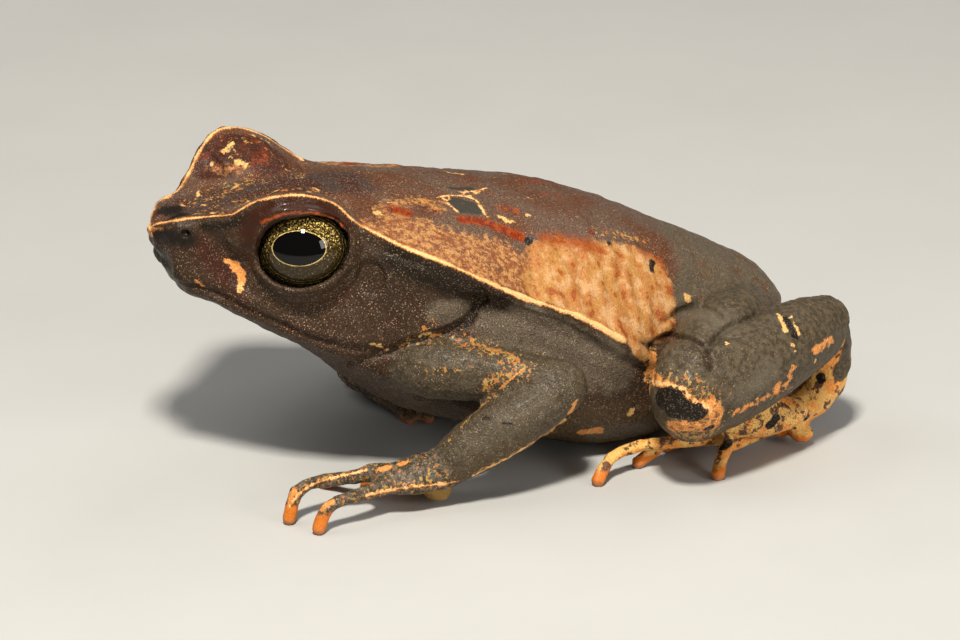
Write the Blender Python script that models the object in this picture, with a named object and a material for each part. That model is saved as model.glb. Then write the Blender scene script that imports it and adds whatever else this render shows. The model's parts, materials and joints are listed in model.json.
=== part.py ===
# Leaf litter toad, life size, crouched: a still museum model.
# The toad faces -Y, its left side is +X. Everything is worked out in millimetres
# and scaled to metres at the end, where the model is also centred over the origin.

import math

import bmesh
import bpy
import numpy as np
from mathutils import Matrix, Vector

# Driving sizes in millimetres.
gap = 0.3
snoutY = -28.4
ventY = 32.0
eyeRadius = 4.4
eyeCentre = (6.5, -16.7, 22.1)
eyeAxis = (0.90, -0.34, 0.27)
lidThickness = 0.75
openingHalfWidth = 3.85
openingHalfHeight = 2.9
neckY = -9.6
rumpPull = 0.13
bodyVoxel = 0.42
bodyTriangles = 4600
handTriangles = 700
bodyStations = 150
evenShare = 0.35          # of the stations' spacing, the rest crowds towards both ends
shoulderShare = 0.55      # where the back's dome starts to fall, as a share of the ridge's width
rumpStart = 24
neckLean = 0.12
blockReach = 40
pointedCorner = 0.92
roundedLid = 1.12
openingShare = 0.9
lidRoom = 0.1

skinColour = (0.055, 0.045, 0.042)
backColour = (0.16, 0.055, 0.035)
jawColour = (0.045, 0.032, 0.028)
limbColour = (0.06, 0.055, 0.048)
footColour = (0.20, 0.10, 0.03)
eyeColour = (0.015, 0.010, 0.006)

# Each curve lists (y, value): the body's half section is drawn through seven
# such heights and widths at every y.
backLine = [(-28.4, 22.8), (-28.1, 23.3), (-27.2, 23.7), (-25.5, 24.1), (-22, 24.8), (-18, 25.4),
            (-14, 25.4), (-9.5, 25.1), (-4, 24.5), (0, 23.8), (8, 22.0), (16, 18.9),
            (20, 16.8), (24, 14.9), (27, 13.4), (29.5, 12.1), (31, 10.9), (32, 9.5)]
ridgeWidth = [(-28.4, 0.7), (-27.9, 1.8), (-26.5, 3.0), (-24, 4.5), (-22, 5.8), (-18, 7.4),
              (-13.7, 8.8), (-9.4, 10.7), (-4.5, 12.5), (1, 13.4), (8, 14.0), (12, 14.0),
              (16, 12.7), (20, 10.7), (24, 8.6), (28, 6.6), (30.5, 4.9), (32, 2.2)]
ridgeHeight = [(-28.4, 22.8), (-27.9, 23.3), (-26.5, 24.2), (-24, 24.7), (-22, 25.1), (-18, 25.5),
               (-13.7, 24.4), (-9.4, 22.8), (-4.5, 20.5), (1, 17.4), (4.3, 15.9), (8, 13.9),
               (12, 11.0), (18, 10.4), (24, 10.2), (29, 10.0), (31, 9.6), (32, 9.1)]
cheekWidth = [(-28.4, 0.8), (-27.9, 2.1), (-26.5, 3.6), (-22, 6.6), (-18, 8.3), (-13.7, 9.9),
              (-9.4, 11.3), (-4.5, 12.5), (1, 13.2), (8, 13.8), (12, 13.9), (16, 13.0),
              (20, 11.2), (24, 9.2), (28, 7.0), (30.5, 5.1), (32, 2.3)]
cheekHeight = [(-28.4, 22.7), (-27.9, 22.4), (-26.5, 21.9), (-22, 21.4), (-18, 20.6), (-13.7, 19.8),
               (-9.4, 18.8), (-4.5, 17.6), (1, 15.4), (8, 12.0), (12, 9.6), (18, 8.8),
               (24, 8.4), (29, 8.4), (32, 8.3)]
lipWidth = [(-28.4, 0.6), (-28.0, 1.8), (-27.2, 3.1), (-26.2, 4.2), (-25.2, 5.0), (-21.5, 7.9),
            (-16.5, 9.9), (-11.5, 11.4), (-9, 11.7), (-4, 12.7), (0, 13.4), (6, 14.0), (12, 13.9),
            (16, 13.0), (20, 11.3), (24, 9.3), (28, 6.9), (30.5, 4.6), (32, 2.0)]
lipHeight = [(-28.4, 22.6), (-28.0, 21.6), (-27.2, 20.4), (-26.2, 19.7), (-25.2, 19.4), (-21.5, 17.8),
             (-16.5, 15.2), (-11.5, 14.4), (-9, 13.7), (-4, 13.3), (0, 12.6), (6, 10.4), (12, 8.0),
             (18, 7.4), (24, 7.5), (29, 7.9), (32, 8.0)]
jawWidth = [(-28.4, 0.5), (-28.0, 1.4), (-27.2, 2.6), (-26.2, 3.8), (-25.2, 4.7), (-21.5, 7.5),
            (-16.5, 9.4), (-11.5, 10.5), (-9, 10.4), (-4, 11.2), (0, 12.0), (6, 12.8), (12, 12.7),
            (16, 11.8), (20, 10.2), (24, 8.3), (28, 6.0), (30.5, 3.9), (32, 1.6)]
jawHeight = [(-28.4, 22.5), (-28.0, 21.2), (-27.2, 19.7), (-26.2, 18.6), (-25.2, 18.0), (-21.5, 16.2),
             (-16.5, 13.4), (-11.5, 10.8), (-9, 8.9), (-4, 6.8), (0, 5.8), (6, 4.2), (12, 3.3),
             (18, 3.4), (24, 4.6), (29, 6.4), (32, 7.7)]
bellyWidth = [(-28.4, 0.3), (-28.0, 0.8), (-27.2, 1.6), (-26.2, 2.3), (-25.2, 3.0), (-21.5, 4.6),
              (-16.5, 5.6), (-11.5, 6.0), (-4, 6.8), (0, 7.6), (6, 8.3), (12, 8.3), (18, 7.0),
              (24, 5.2), (29, 3.2), (32, 0.9)]
bellyHeight = [(-28.4, 22.4), (-28.0, 21.0), (-27.2, 19.4), (-26.2, 18.2), (-25.2, 17.5), (-21.5, 15.2),
               (-16.5, 12.2), (-11.5, 8.0), (-7.9, 5.6), (-2.1, 3.6), (4, 1.6), (9, 0.2), (14, -0.1),
               (19, 0.2), (24, 2.2), (29, 5.0), (32, 7.4)]
keelHeight = [(-28.4, 22.4), (-28.0, 20.9), (-27.2, 19.3), (-26.2, 18.0), (-25.2, 17.3), (-21.5, 14.8),
              (-16.5, 11.7), (-11.5, 7.4), (-7.9, 5.0), (-2.1, 3.2), (4, 1.2), (9, -0.1), (14, -0.3),
              (19, 0.0), (24, 1.8), (29, 4.6), (32, 7.3)]
domeDrop = [(-28.4, 0.35), (-10, 0.28), (0, 0.25), (8, 0.2), (20, 0.22), (32, 0.3)]
mouthLine = [(-31, 18.8), (-28, 19.0), (-25.5, 18.8), (-21.5, 17.0), (-16.5, 14.4), (-12.6, 13.5),
             (-10.5, 13.1), (-6, 12.6)]

# The sharp outer edge of the upper lid, from the canthus back to the neck.
lidCrest = [(3.2, -25.6, 24.0, 0.5, 0.5), (5.0, -23.9, 24.5, 0.65, 0.65), (6.5, -22.2, 25.3, 0.9, 0.9),
            (7.8, -20.8, 26.3, 1.1, 1.1), (8.5, -19.5, 26.9, 1.2, 1.25), (8.6, -18.1, 27.0, 1.2, 1.25),
            (8.5, -16.6, 26.5, 1.2, 1.25), (8.4, -15.1, 25.5, 1.15, 1.15), (8.6, -13.5, 24.3, 1.0, 1.0),
            (9.2, -11.7, 23.2, 0.9, 0.9), (10.0, -9.9, 22.2, 0.8, 0.8), (10.9, -7.6, 21.2, 0.7, 0.7)]

# Balls that fill out the upper lid and the canthus: (centre, half sizes, points around, rings).
lidBalls = [((7.2, -18.2, 23.5), (3.5, 4.1, 4.3), 28, 18), ((6.0, -21.7, 23.5), (1.7, 2.2, 1.7), 20, 12)]

# The nostril, a small pit whose axis points forward and out.
nostrilCentre = (3.35, -27.2, 22.95)
nostrilSize = (0.42, 0.55, 0.95)
nostrilAxis = (0.8, -0.55, 0.2)

# Relief of the body on the left side: swellings and hollows as (height, centre, half sizes, edge).
bodySpots = [(-0.3, (6.4, -23.4, 21.2), (2.2, 2.6, 2.2), 2), (0.3, (3.3, -26.9, 22.9), (1.2, 1.2, 1.0), 2),
             (0.6, (11.6, -4.6, 20.3), (2.4, 5.6, 2.2), 3), (-0.3, (0, -15.5, 27.0), (2.6, 6.0, 1.5), 2),
             (0.35, (10.8, -14.6, 16.4), (1.8, 3.4, 1.8), 2)]

# Folds and ridges as (height, width, line): behind the gland, before the shoulder, under the cream line.
bodyLines = [(-0.3, 1.1, [(9.0, 2.8, 21.0), (11.8, 2.4, 19.0), (13.4, 2.1, 17.2)]),
             (-0.55, 0.75, [(10.6, -11.2, 12.8), (11.6, -8.4, 13.7), (12.4, -3.9, 15.3), (12.8, -2.9, 17.2)]),
             (0.35, 1.0, [(13.2, -1.9, 18.9), (13.6, 1.0, 17.3), (13.9, 4.3, 15.9), (14.1, 8.0, 13.9),
                          (14.2, 11.8, 10.8)])]

# Lips: (height, distance above the line of the mouth, spread), from the snout back to where the mouth ends.
lipBands = [(0.28, 0.9, 0.7), (-0.18, 0.05, 0.35)]
lipEndY = -10.5
lipFade = 2.0

# Ear drum: a raised ring round a shallow hollow.
earY, earZ = -12.1, 20.0
earHalf = (1.5, 1.85)
earSide = 10.4
earSideSpread = 2.2
earRing = (0.18, 1.05, 0.22)
earHollow = (-0.2, 0.6)

# The right leg, behind the body, is folded a little lower.
thighLow = [(5.5, 26.0, 7.6, 3.4, 3.5), (12.0, 22.4, 8.6, 4.0, 4.0), (16.8, 17.8, 8.6, 3.8, 4.0),
            (20.0, 14.3, 8.2, 3.6, 4.0)]
shankLow = [(20.3, 14.2, 8.2, 3.6, 4.0), (18.9, 19.3, 7.8, 3.5, 3.7), (16.6, 24.2, 7.3, 3.2, 3.3),
            (14.2, 28.0, 6.6, 2.6, 2.6)]
tarsusLow = [(14.0, 28.2, 6.4, 2.4, 2.3), (13.9, 28.8, 4.7, 1.9, 1.9), (14.2, 27.9, 3.5, 1.7, 1.7),
             (14.4, 26.4, 3.0, 1.7, 1.5)]
soleLow = [(14.4, 26.4, 3.0, 1.7, 1.5), (14.7, 23.2, 2.5, 2.1, 1.2), (15.0, 20.2, 2.0, 2.5, 0.95)]

# Limbs: each row is (x, y, z, half width, half height) along the middle of the piece.
upperArm = [(8.2, -8.6, 11.6, 3.3, 3.4), (11.6, -6.4, 11.2, 2.9, 2.9), (14.2, -1.8, 10.8, 2.3, 2.4),
            (16.7, 3.3, 9.8, 2.4, 2.4)]
forearm = [(16.7, 3.3, 9.8, 2.4, 2.4), (16.8, -1.7, 7.1, 2.5, 2.7), (16.3, -5.3, 4.9, 2.2, 2.4),
           (15.8, -7.9, 3.1, 1.9, 1.7)]
palm = [(15.8, -7.9, 3.0, 1.9, 1.6), (15.4, -10.2, 2.6, 2.4, 1.1), (15.0, -12.4, 2.6, 2.2, 0.9)]
finger1 = [(13.9, -10.2, 2.4, 0.8, 0.8), (12.0, -11.3, 1.9, 0.55, 0.55), (10.6, -12.6, 0.5, 0.62, 0.62)]
finger2 = [(14.0, -12.0, 2.6, 0.8, 0.8), (11.4, -14.4, 1.9, 0.55, 0.55), (8.8, -16.0, 0.5, 0.62, 0.62)]
finger3 = [(14.8, -12.2, 2.8, 0.85, 0.8), (14.0, -16.8, 3.1, 0.6, 0.6), (14.7, -20.6, 2.7, 0.58, 0.58),
           (15.0, -21.3, 0.5, 0.62, 0.62)]
finger4 = [(16.1, -12.0, 2.6, 0.85, 0.8), (17.3, -16.0, 2.7, 0.6, 0.6), (17.7, -18.8, 2.2, 0.58, 0.58),
           (17.9, -19.6, 0.5, 0.62, 0.62)]
forearmIn = [(16.7, 3.3, 9.8, 2.4, 2.4), (16.4, -0.4, 7.0, 2.4, 2.5), (14.6, -3.4, 4.6, 2.0, 2.0),
             (12.4, -5.3, 2.8, 1.8, 1.5)]
palmIn = [(12.4, -5.3, 2.8, 1.8, 1.4), (10.2, -5.7, 2.3, 2.3, 1.05), (8.2, -5.6, 1.9, 2.1, 0.8)]
fingersIn = [[(10.2, -4.6, 2.2, 0.8, 0.7), (9.2, -2.9, 1.5, 0.5, 0.5), (8.7, -1.6, 0.5, 0.6, 0.6)],
             [(8.4, -4.6, 1.9, 0.8, 0.7), (6.4, -2.6, 1.4, 0.5, 0.5), (5.4, -1.6, 0.5, 0.6, 0.6)],
             [(8.0, -5.4, 1.9, 0.8, 0.7), (4.4, -3.9, 1.7, 0.5, 0.5), (1.6, -2.3, 0.5, 0.62, 0.62)],
             [(8.2, -6.4, 1.9, 0.8, 0.7), (5.0, -5.7, 1.6, 0.5, 0.5), (2.1, -4.0, 0.5, 0.62, 0.62)]]

# Balls under the palms and soles: (x, y, z, radius).
palmBalls = [(14.0, -7.4, 1.0, 1.1), (16.0, -7.6, 1.35, 1.0)]
palmBallsIn = [(12.4, -6.0, 0.95, 1.0), (11.4, -4.4, 0.95, 0.9)]
soleBalls = [(15.3, -0.2, 1.25, 1.1), (13.4, -1.4, 1.2, 1.15)]

thigh = [(5.5, 25.8, 8.2, 3.5, 3.7), (12.2, 22.2, 9.9, 4.1, 4.6), (16.8, 17.6, 9.9, 4.0, 4.8),
         (20.0, 14.3, 9.0, 3.7, 4.5)]
shank = [(20.3, 14.2, 9.0, 3.7, 4.5), (18.9, 19.5, 9.7, 3.7, 4.3), (16.6, 25.0, 10.7, 3.5, 3.7),
         (14.0, 29.6, 10.6, 2.8, 3.0)]
tarsus = [(13.9, 29.5, 10.0, 2.6, 2.7), (13.8, 30.5, 6.8, 2.0, 2.1), (14.2, 29.3, 4.4, 1.8, 1.8),
          (14.4, 27.4, 3.3, 1.7, 1.5)]
sole = [(14.4, 27.4, 3.3, 1.7, 1.5), (14.7, 23.8, 2.7, 2.1, 1.2), (15.0, 20.2, 2.0, 2.5, 0.95)]
toes = [[(13.6, 22.4, 2.0, 0.8, 0.7), (12.0, 20.6, 1.4, 0.5, 0.5), (11.0, 19.0, 0.5, 0.58, 0.58)],
        [(13.6, 20.6, 1.9, 0.8, 0.7), (12.6, 17.4, 1.6, 0.5, 0.5), (12.4, 15.4, 0.5, 0.58, 0.58)],
        [(14.6, 20.0, 2.0, 0.8, 0.7), (14.0, 15.4, 2.0, 0.55, 0.55), (14.7, 11.6, 0.5, 0.6, 0.6)],
        [(15.6, 20.0, 2.1, 0.8, 0.7), (15.9, 15.8, 2.4, 0.58, 0.58), (15.4, 11.2, 2.4, 0.55, 0.55),
         (16.2, 8.0, 1.8, 0.55, 0.55), (17.0, 6.8, 0.5, 0.65, 0.65)],
        [(16.4, 20.6, 2.0, 0.8, 0.75), (18.3, 18.3, 2.0, 0.6, 0.6), (19.6, 17.2, 0.5, 0.66, 0.66)]]


def smooth_through(keys, at):
    """A smooth curve through (position, value) keys, read at the positions asked for."""
    where, value = np.array(keys, float).T
    slope = np.gradient(value, where)
    at = np.clip(np.asarray(at, float), where[0], where[-1])
    i = np.clip(np.searchsorted(where, at) - 1, 0, len(where) - 2)
    span = where[i + 1] - where[i]
    t = (at - where[i]) / span
    a = (1 + 2 * t) * (1 - t) ** 2
    b = t * (1 - t) ** 2 * span
    c = t * t * (3 - 2 * t)
    d = t * t * (t - 1) * span
    return a * value[i] + b * slope[i] + c * value[i + 1] + d * slope[i + 1]


def closed_curve(points, steps):
    """Points of a smooth closed curve through the given points."""
    points = np.asarray(points, float)
    rows = []
    count = len(points)
    for i in range(count):
        a, b, c, d = (points[(i + k) % count] for k in (-1, 0, 1, 2))
        for step in range(steps):
            t = step / steps
            rows.append(0.5 * (2 * b + (c - a) * t + (2 * a - 5 * b + 4 * c - d) * t * t
                               + (3 * b - a - 3 * c + d) * t ** 3))
    return np.array(rows)


def open_curve(rows, steps):
    """Rows of a smooth open curve through the given rows."""
    rows = np.asarray(rows, float)
    where = np.concatenate([[0], np.cumsum(np.linalg.norm(np.diff(rows[:, :3], axis=0), axis=1))])
    at = np.linspace(0, where[-1], steps)
    columns = [smooth_through(list(zip(where, rows[:, k])), at) for k in range(rows.shape[1])]
    return np.stack(columns, axis=1)


def mesh_object(name, points, faces):
    mesh = bpy.data.meshes.new(name)
    mesh.from_pydata([tuple(map(float, p)) for p in points], [], [tuple(f) for f in faces])
    obj = bpy.data.objects.new(name, mesh)
    bpy.context.scene.collection.objects.link(obj)
    shape = bmesh.new()
    shape.from_mesh(mesh)
    bmesh.ops.recalc_face_normals(shape, faces=shape.faces)
    if shape.calc_volume(signed=True) < 0:
        bmesh.ops.reverse_faces(shape, faces=shape.faces)
    shape.to_mesh(mesh)
    shape.free()
    return obj


def rings_object(name, rings, start, end):
    """A closed mesh from rings of points, with a point at each end."""
    rings = np.asarray(rings, float)
    count, around = rings.shape[:2]
    points = list(rings.reshape(-1, 3)) + [start, end]
    faces = []
    for i in range(count - 1):
        for j in range(around):
            k = (j + 1) % around
            faces.append((i * around + j, i * around + k, (i + 1) * around + k, (i + 1) * around + j))
    first, last = count * around, count * around + 1
    for j in range(around):
        k = (j + 1) % around
        faces.append((first, k, j))
        faces.append((last, (count - 1) * around + j, (count - 1) * around + k))
    return mesh_object(name, points, faces)


def body_loft():
    """Head, neck and trunk in one, from the curves above."""
    t = np.linspace(0, 1, bodyStations)
    middle = snoutY + (ventY - snoutY) * t
    ease = snoutY + (ventY - snoutY) * (0.5 - 0.5 * np.cos(math.pi * t))
    stations = evenShare * middle + (1 - evenShare) * ease
    stations[0] += 0.04
    stations[-1] -= 0.06
    rings = []
    for y in stations:
        top = smooth_through(backLine, y)
        ridgeX = smooth_through(ridgeWidth, y)
        ridgeZ = smooth_through(ridgeHeight, y)
        drop = smooth_through(domeDrop, y)
        half = [(shoulderShare * ridgeX, top - drop * (top - ridgeZ)),
                (ridgeX, ridgeZ),
                (smooth_through(cheekWidth, y), smooth_through(cheekHeight, y)),
                (smooth_through(lipWidth, y), smooth_through(lipHeight, y)),
                (smooth_through(jawWidth, y), smooth_through(jawHeight, y)),
                (smooth_through(bellyWidth, y), smooth_through(bellyHeight, y))]
        keel = smooth_through(keelHeight, y)
        section = [(0, top)] + half + [(0, keel)] + [(-x, z) for x, z in reversed(half)]
        loop = closed_curve(section, 8)
        rump = y - rumpPull * max(0, y - rumpStart)
        rings.append([(x, rump, z) for x, z in loop])
    rings = np.array(rings)
    start = rings[0].mean(axis=0) + (0, -0.1, 0)
    end = rings[-1].mean(axis=0) + (0, 0.2, 0)
    return rings_object("body", rings, start, end)


def limb_tube(name, rows, side=1, grow=0.0, around=14, steps=9, roundness=4):
    """A closed oval tube with rounded ends along rows of (x, y, z, half width, half height)."""
    rows = open_curve(rows, steps)
    points = rows[:, :3] * (side, 1, 1)
    wide = rows[:, 3] + grow
    high = rows[:, 4] + grow
    along = np.gradient(points, axis=0)
    along /= np.linalg.norm(along, axis=1, keepdims=True)
    across = np.cross(along, (0, 0, 1.0))
    across /= np.linalg.norm(across, axis=1, keepdims=True)
    for i in range(1, len(across)):
        if across[i] @ across[i - 1] < 0:
            across[i] = -across[i]
    upward = np.cross(across, along)
    rings = []
    turn = np.linspace(0, 2 * math.pi, around, endpoint=False)

    def ring(i, offset, scale):
        centre = points[i] + along[i] * offset
        return (centre + np.outer(np.cos(turn) * wide[i] * scale, across[i])
                + np.outer(np.sin(turn) * high[i] * scale, upward[i]))

    reachStart = 0.5 * (wide[0] + high[0])
    reachEnd = 0.5 * (wide[-1] + high[-1])
    angles = [math.pi / 2 * k / roundness for k in range(1, roundness)]
    for angle in reversed(angles):
        rings.append(ring(0, -reachStart * math.sin(angle), math.cos(angle)))
    for i in range(len(points)):
        rings.append(ring(i, 0, 1))
    for angle in angles:
        rings.append(ring(-1, reachEnd * math.sin(angle), math.cos(angle)))
    start = points[0] - along[0] * reachStart
    end = points[-1] + along[-1] * reachEnd
    return rings_object(name, rings, start, end)


def ball(name, centre, radii, around=16, high=10, axis=(0, 0, 1)):
    """An ellipsoid whose poles lie on the axis."""
    turn = np.linspace(0, 2 * math.pi, around, endpoint=False)
    spin = np.array(Vector((0, 0, 1)).rotation_difference(Vector(axis)).to_matrix())
    rings = []
    for k in range(1, high):
        lift = math.pi * k / high
        ring = np.stack([np.cos(turn) * math.sin(lift), np.sin(turn) * math.sin(lift),
                         np.full(around, math.cos(lift))], axis=1)
        rings.append((ring * radii) @ spin.T + centre)
    top = (np.array((0, 0, 1.0)) * radii) @ spin.T + centre
    bottom = (np.array((0, 0, -1.0)) * radii) @ spin.T + centre
    return rings_object(name, rings, top, bottom)


def prism(name, outline, low, high, place, spread=1.0):
    """A closed prism of an outline, between two heights of its own frame."""
    count = len(outline)
    points = [place @ Vector((x, y, low)) for x, y in outline]
    points += [place @ Vector((x * spread, y * spread, high)) for x, y in outline]
    faces = [tuple(range(count)), tuple(range(2 * count - 1, count - 1, -1))]
    for i in range(count):
        k = (i + 1) % count
        faces.append((i, k, count + k, count + i))
    return mesh_object(name, points, faces)


def remove(objects):
    for obj in objects:
        mesh = obj.data
        bpy.data.objects.remove(obj)
        bpy.data.meshes.remove(mesh)


def apply_modifiers(obj):
    bpy.context.view_layer.update()
    graph = bpy.context.evaluated_depsgraph_get()
    mesh = bpy.data.meshes.new_from_object(obj.evaluated_get(graph))
    obj.modifiers.clear()
    old = obj.data
    obj.data = mesh
    bpy.data.meshes.remove(old)
    mesh.name = obj.name


def boolean(obj, others, operation, solver="EXACT"):
    """Cuts or joins the others with the object, and removes them."""
    helpers = bpy.data.collections.new(obj.name + "Helpers")
    bpy.context.scene.collection.children.link(helpers)
    for other in others:
        helpers.objects.link(other)
    modifier = obj.modifiers.new("Boolean", "BOOLEAN")
    modifier.operation = operation
    modifier.operand_type = "COLLECTION"
    modifier.collection = helpers
    modifier.solver = solver
    apply_modifiers(obj)
    bpy.data.collections.remove(helpers)


def keep_largest(obj):
    """Leaves only the largest closed surface of the object."""
    shape = bmesh.new()
    shape.from_mesh(obj.data)
    left = set(shape.verts)
    groups = []
    while left:
        stack = [left.pop()]
        group = set(stack)
        while stack:
            for edge in stack.pop().link_edges:
                for vert in edge.verts:
                    if vert not in group:
                        group.add(vert)
                        stack.append(vert)
        left -= group
        groups.append(group)
    groups.sort(key=len)
    for group in groups[:-1]:
        bmesh.ops.delete(shape, geom=list(group), context="VERTS")
    bmesh.ops.triangulate(shape, faces=shape.faces)
    shape.to_mesh(obj.data)
    shape.free()


def plane_cut(obj, point, normal):
    """Cuts away what lies on the normal's side of a plane and closes the face."""
    shape = bmesh.new()
    shape.from_mesh(obj.data)
    everything = list(shape.verts) + list(shape.edges) + list(shape.faces)
    bmesh.ops.bisect_plane(shape, geom=everything, dist=1e-5, plane_co=point, plane_no=normal,
                           clear_outer=True)
    rim = [edge for edge in shape.edges if edge.is_boundary]
    if rim:
        bmesh.ops.holes_fill(shape, edges=rim, sides=0)
    bmesh.ops.recalc_face_normals(shape, faces=shape.faces)
    bmesh.ops.triangulate(shape, faces=[face for face in shape.faces if len(face.verts) > 3])
    shape.to_mesh(obj.data)
    shape.free()


def mitre(first, second, joint, toFirst, toSecond, room=gap):
    """Parts two pieces that meet at a joint by the plane between their directions."""
    a = Vector(toFirst).normalized()
    b = Vector(toSecond).normalized()
    normal = (b - a).normalized()
    joint = Vector(joint)
    plane_cut(first, joint - normal * room / 2, normal)
    plane_cut(second, joint + normal * room / 2, -normal)


def copy_of(obj, name):
    twin = bpy.data.objects.new(name, obj.data.copy())
    bpy.context.scene.collection.objects.link(twin)
    return twin


def grown_copy(obj, name, amount):
    """The object pushed outwards along its normals."""
    twin = copy_of(obj, name)
    normals = vertex_normals(twin)
    points = vertex_points(twin)
    set_points(twin, points + normals * amount)
    return twin


def vertex_points(obj):
    values = np.empty(len(obj.data.vertices) * 3, np.float32)
    obj.data.vertices.foreach_get("co", values)
    return values.reshape(-1, 3).astype(float)


def vertex_normals(obj):
    obj.data.update()
    values = np.empty(len(obj.data.vertices) * 3, np.float32)
    obj.data.vertices.foreach_get("normal", values)
    return values.reshape(-1, 3).astype(float)


def set_points(obj, points):
    obj.data.vertices.foreach_set("co", points.astype(np.float32).ravel())
    obj.data.update()


def bump(points, centre, radii, power=2.0):
    """1 at the centre, falling smoothly to nothing a little past the radii."""
    far = np.sqrt((((points - centre) / radii) ** 2).sum(axis=1))
    return np.exp(-far ** power)


def near_line(points, line, width):
    """1 on a line through the given points, falling off over the width."""
    line = np.asarray(line, float)
    best = np.full(len(points), 1e9)
    for a, b in zip(line[:-1], line[1:]):
        along = b - a
        t = np.clip(((points - a) @ along) / (along @ along), 0, 1)
        best = np.minimum(best, np.linalg.norm(points - (a + t[:, None] * along), axis=1))
    return np.exp(-(best / width) ** 2)


def body_relief(obj):
    """Lips, glands, ear drum, folds and the canthus, raised or sunk along the normals."""
    points = vertex_points(obj)
    normals = vertex_normals(obj)
    p = points.copy()
    p[:, 0] = np.abs(points[:, 0])
    lift = np.zeros(len(p))
    for height, centre, radii, edge in bodySpots:
        lift += height * bump(p, centre, radii, edge)
    for height, width, line in bodyLines:
        lift += height * near_line(p, line, width)
    mouth = smooth_through(mouthLine, p[:, 1])
    onLips = np.clip((lipEndY - p[:, 1]) / lipFade, 0, 1)
    for height, above, width in lipBands:
        lift += height * onLips * np.exp(-((p[:, 2] - mouth - above) / width) ** 2)
    ear = np.sqrt(((p[:, 1] - earY) / earHalf[0]) ** 2 + ((p[:, 2] - earZ) / earHalf[1]) ** 2)
    onSide = np.exp(-((p[:, 0] - earSide) / earSideSpread) ** 4)
    height, radius, width = earRing
    lift += onSide * height * np.exp(-((ear - radius) / width) ** 2)
    depth, width = earHollow
    lift += onSide * depth * np.exp(-ear ** 4 / width)
    set_points(obj, points + normals * lift[:, None])


def thin_out(obj, triangles):
    """Fewer triangles, most of them left where the surface bends."""
    now = sum(len(face.vertices) - 2 for face in obj.data.polygons)
    if now > triangles:
        thin = obj.modifiers.new("Decimate", "DECIMATE")
        thin.ratio = triangles / now
        apply_modifiers(obj)


def make_body():
    body = body_loft()
    lids = []
    outer = eyeRadius + gap + lidThickness
    for side in (1, -1):
        centre = np.array(eyeCentre) * (side, 1, 1)
        lids.append(ball("lidBall", centre, (outer - lidRoom, outer, outer - lidRoom), 28, 18))
        for (x, y, z), halfSizes, around, high in lidBalls:
            lids.append(ball("lidFill", (x * side, y, z), halfSizes, around, high))
        lids.append(limb_tube("lidCrest", lidCrest, side, 0, 12, 20, 3))
    bpy.context.view_layer.update()
    pieces = [body] + lids
    joined = bmesh.new()
    for piece in pieces:
        joined.from_mesh(piece.data)
    joined.to_mesh(body.data)
    joined.free()
    remove(lids)
    remesh = body.modifiers.new("Remesh", "REMESH")
    remesh.mode = "VOXEL"
    remesh.voxel_size = bodyVoxel
    remesh.use_smooth_shade = True
    relax = body.modifiers.new("Smooth", "SMOOTH")
    relax.factor = 0.5
    relax.iterations = 5
    apply_modifiers(body)
    body_relief(body)
    thin_out(body, bodyTriangles)
    keep_largest(body)
    plane_cut(body, (0, 0, 0), (0, 0, -1))
    return body


def side_block(name, outline):
    """A block across the whole width, whose outline is in the (y, z) plane."""
    place = Matrix(((0, 0, 1, 0), (1, 0, 0, 0), (0, 1, 0, 0), (0, 0, 0, 1)))
    return prism(name, outline, -blockReach, blockReach, place)


def mouth_outline(shift):
    """The edge of the lower jaw seen from the side, moved by a shift across itself."""
    line = np.array(mouthLine, float)
    along = np.gradient(line, axis=0)
    along /= np.linalg.norm(along, axis=1, keepdims=True)
    across = np.stack([along[:, 1], -along[:, 0]], axis=1)
    return [tuple(row) for row in line + across * shift]


def split_body(body):
    """Head, lower jaw and torso, with the line of the mouth and the neck between them."""
    lower = copy_of(body, "lower_jaw")
    torso = copy_of(body, "torso")
    head = body
    head.name = "head"
    neck = Vector((0, neckY, 14))
    lean = Vector((0, 1, neckLean)).normalized()
    plane_cut(torso, neck + lean * gap / 2, -lean)
    plane_cut(head, neck - lean * gap / 2, lean)
    plane_cut(lower, neck - lean * gap / 2, lean)
    edge = mouth_outline(gap / 2)
    under = edge + [(edge[-1][0], -5), (-blockReach, -5), (-blockReach, edge[0][1])]
    boolean(lower, [side_block("keepJaw", under)], "INTERSECT")
    edge = mouth_outline(-gap / 2)
    away = edge + [(edge[-1][0], -5), (-blockReach, -5), (-blockReach, edge[0][1])]
    boolean(head, [side_block("cutJaw", away)], "DIFFERENCE")
    keep_largest(head)
    keep_largest(lower)
    keep_largest(torso)
    return head, lower, torso


def almond(halfWidth, halfHeight, count=28):
    """The outline of the opened lids, with drawn-out corners."""
    rows = []
    for k in range(count):
        turn = 2 * math.pi * k / count
        x = math.cos(turn)
        y = math.sin(turn)
        across = halfWidth * math.copysign(abs(x) ** pointedCorner, x)
        upward = halfHeight * math.copysign(abs(y) ** roundedLid, y)
        rows.append((across, upward))
    return rows


def eye_place(side):
    """The frame of an eye: its own x runs forward along the lids, its z out of the head."""
    out = Vector((eyeAxis[0] * side, eyeAxis[1], eyeAxis[2])).normalized()
    forward = Vector((0.2 * side, -1, -0.12))
    forward = (forward - out * forward.dot(out)).normalized()
    upward = out.cross(forward)
    frame = Matrix((forward, upward, out)).transposed().to_4x4()
    frame.translation = Vector((eyeCentre[0] * side, eyeCentre[1], eyeCentre[2]))
    return frame


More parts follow.
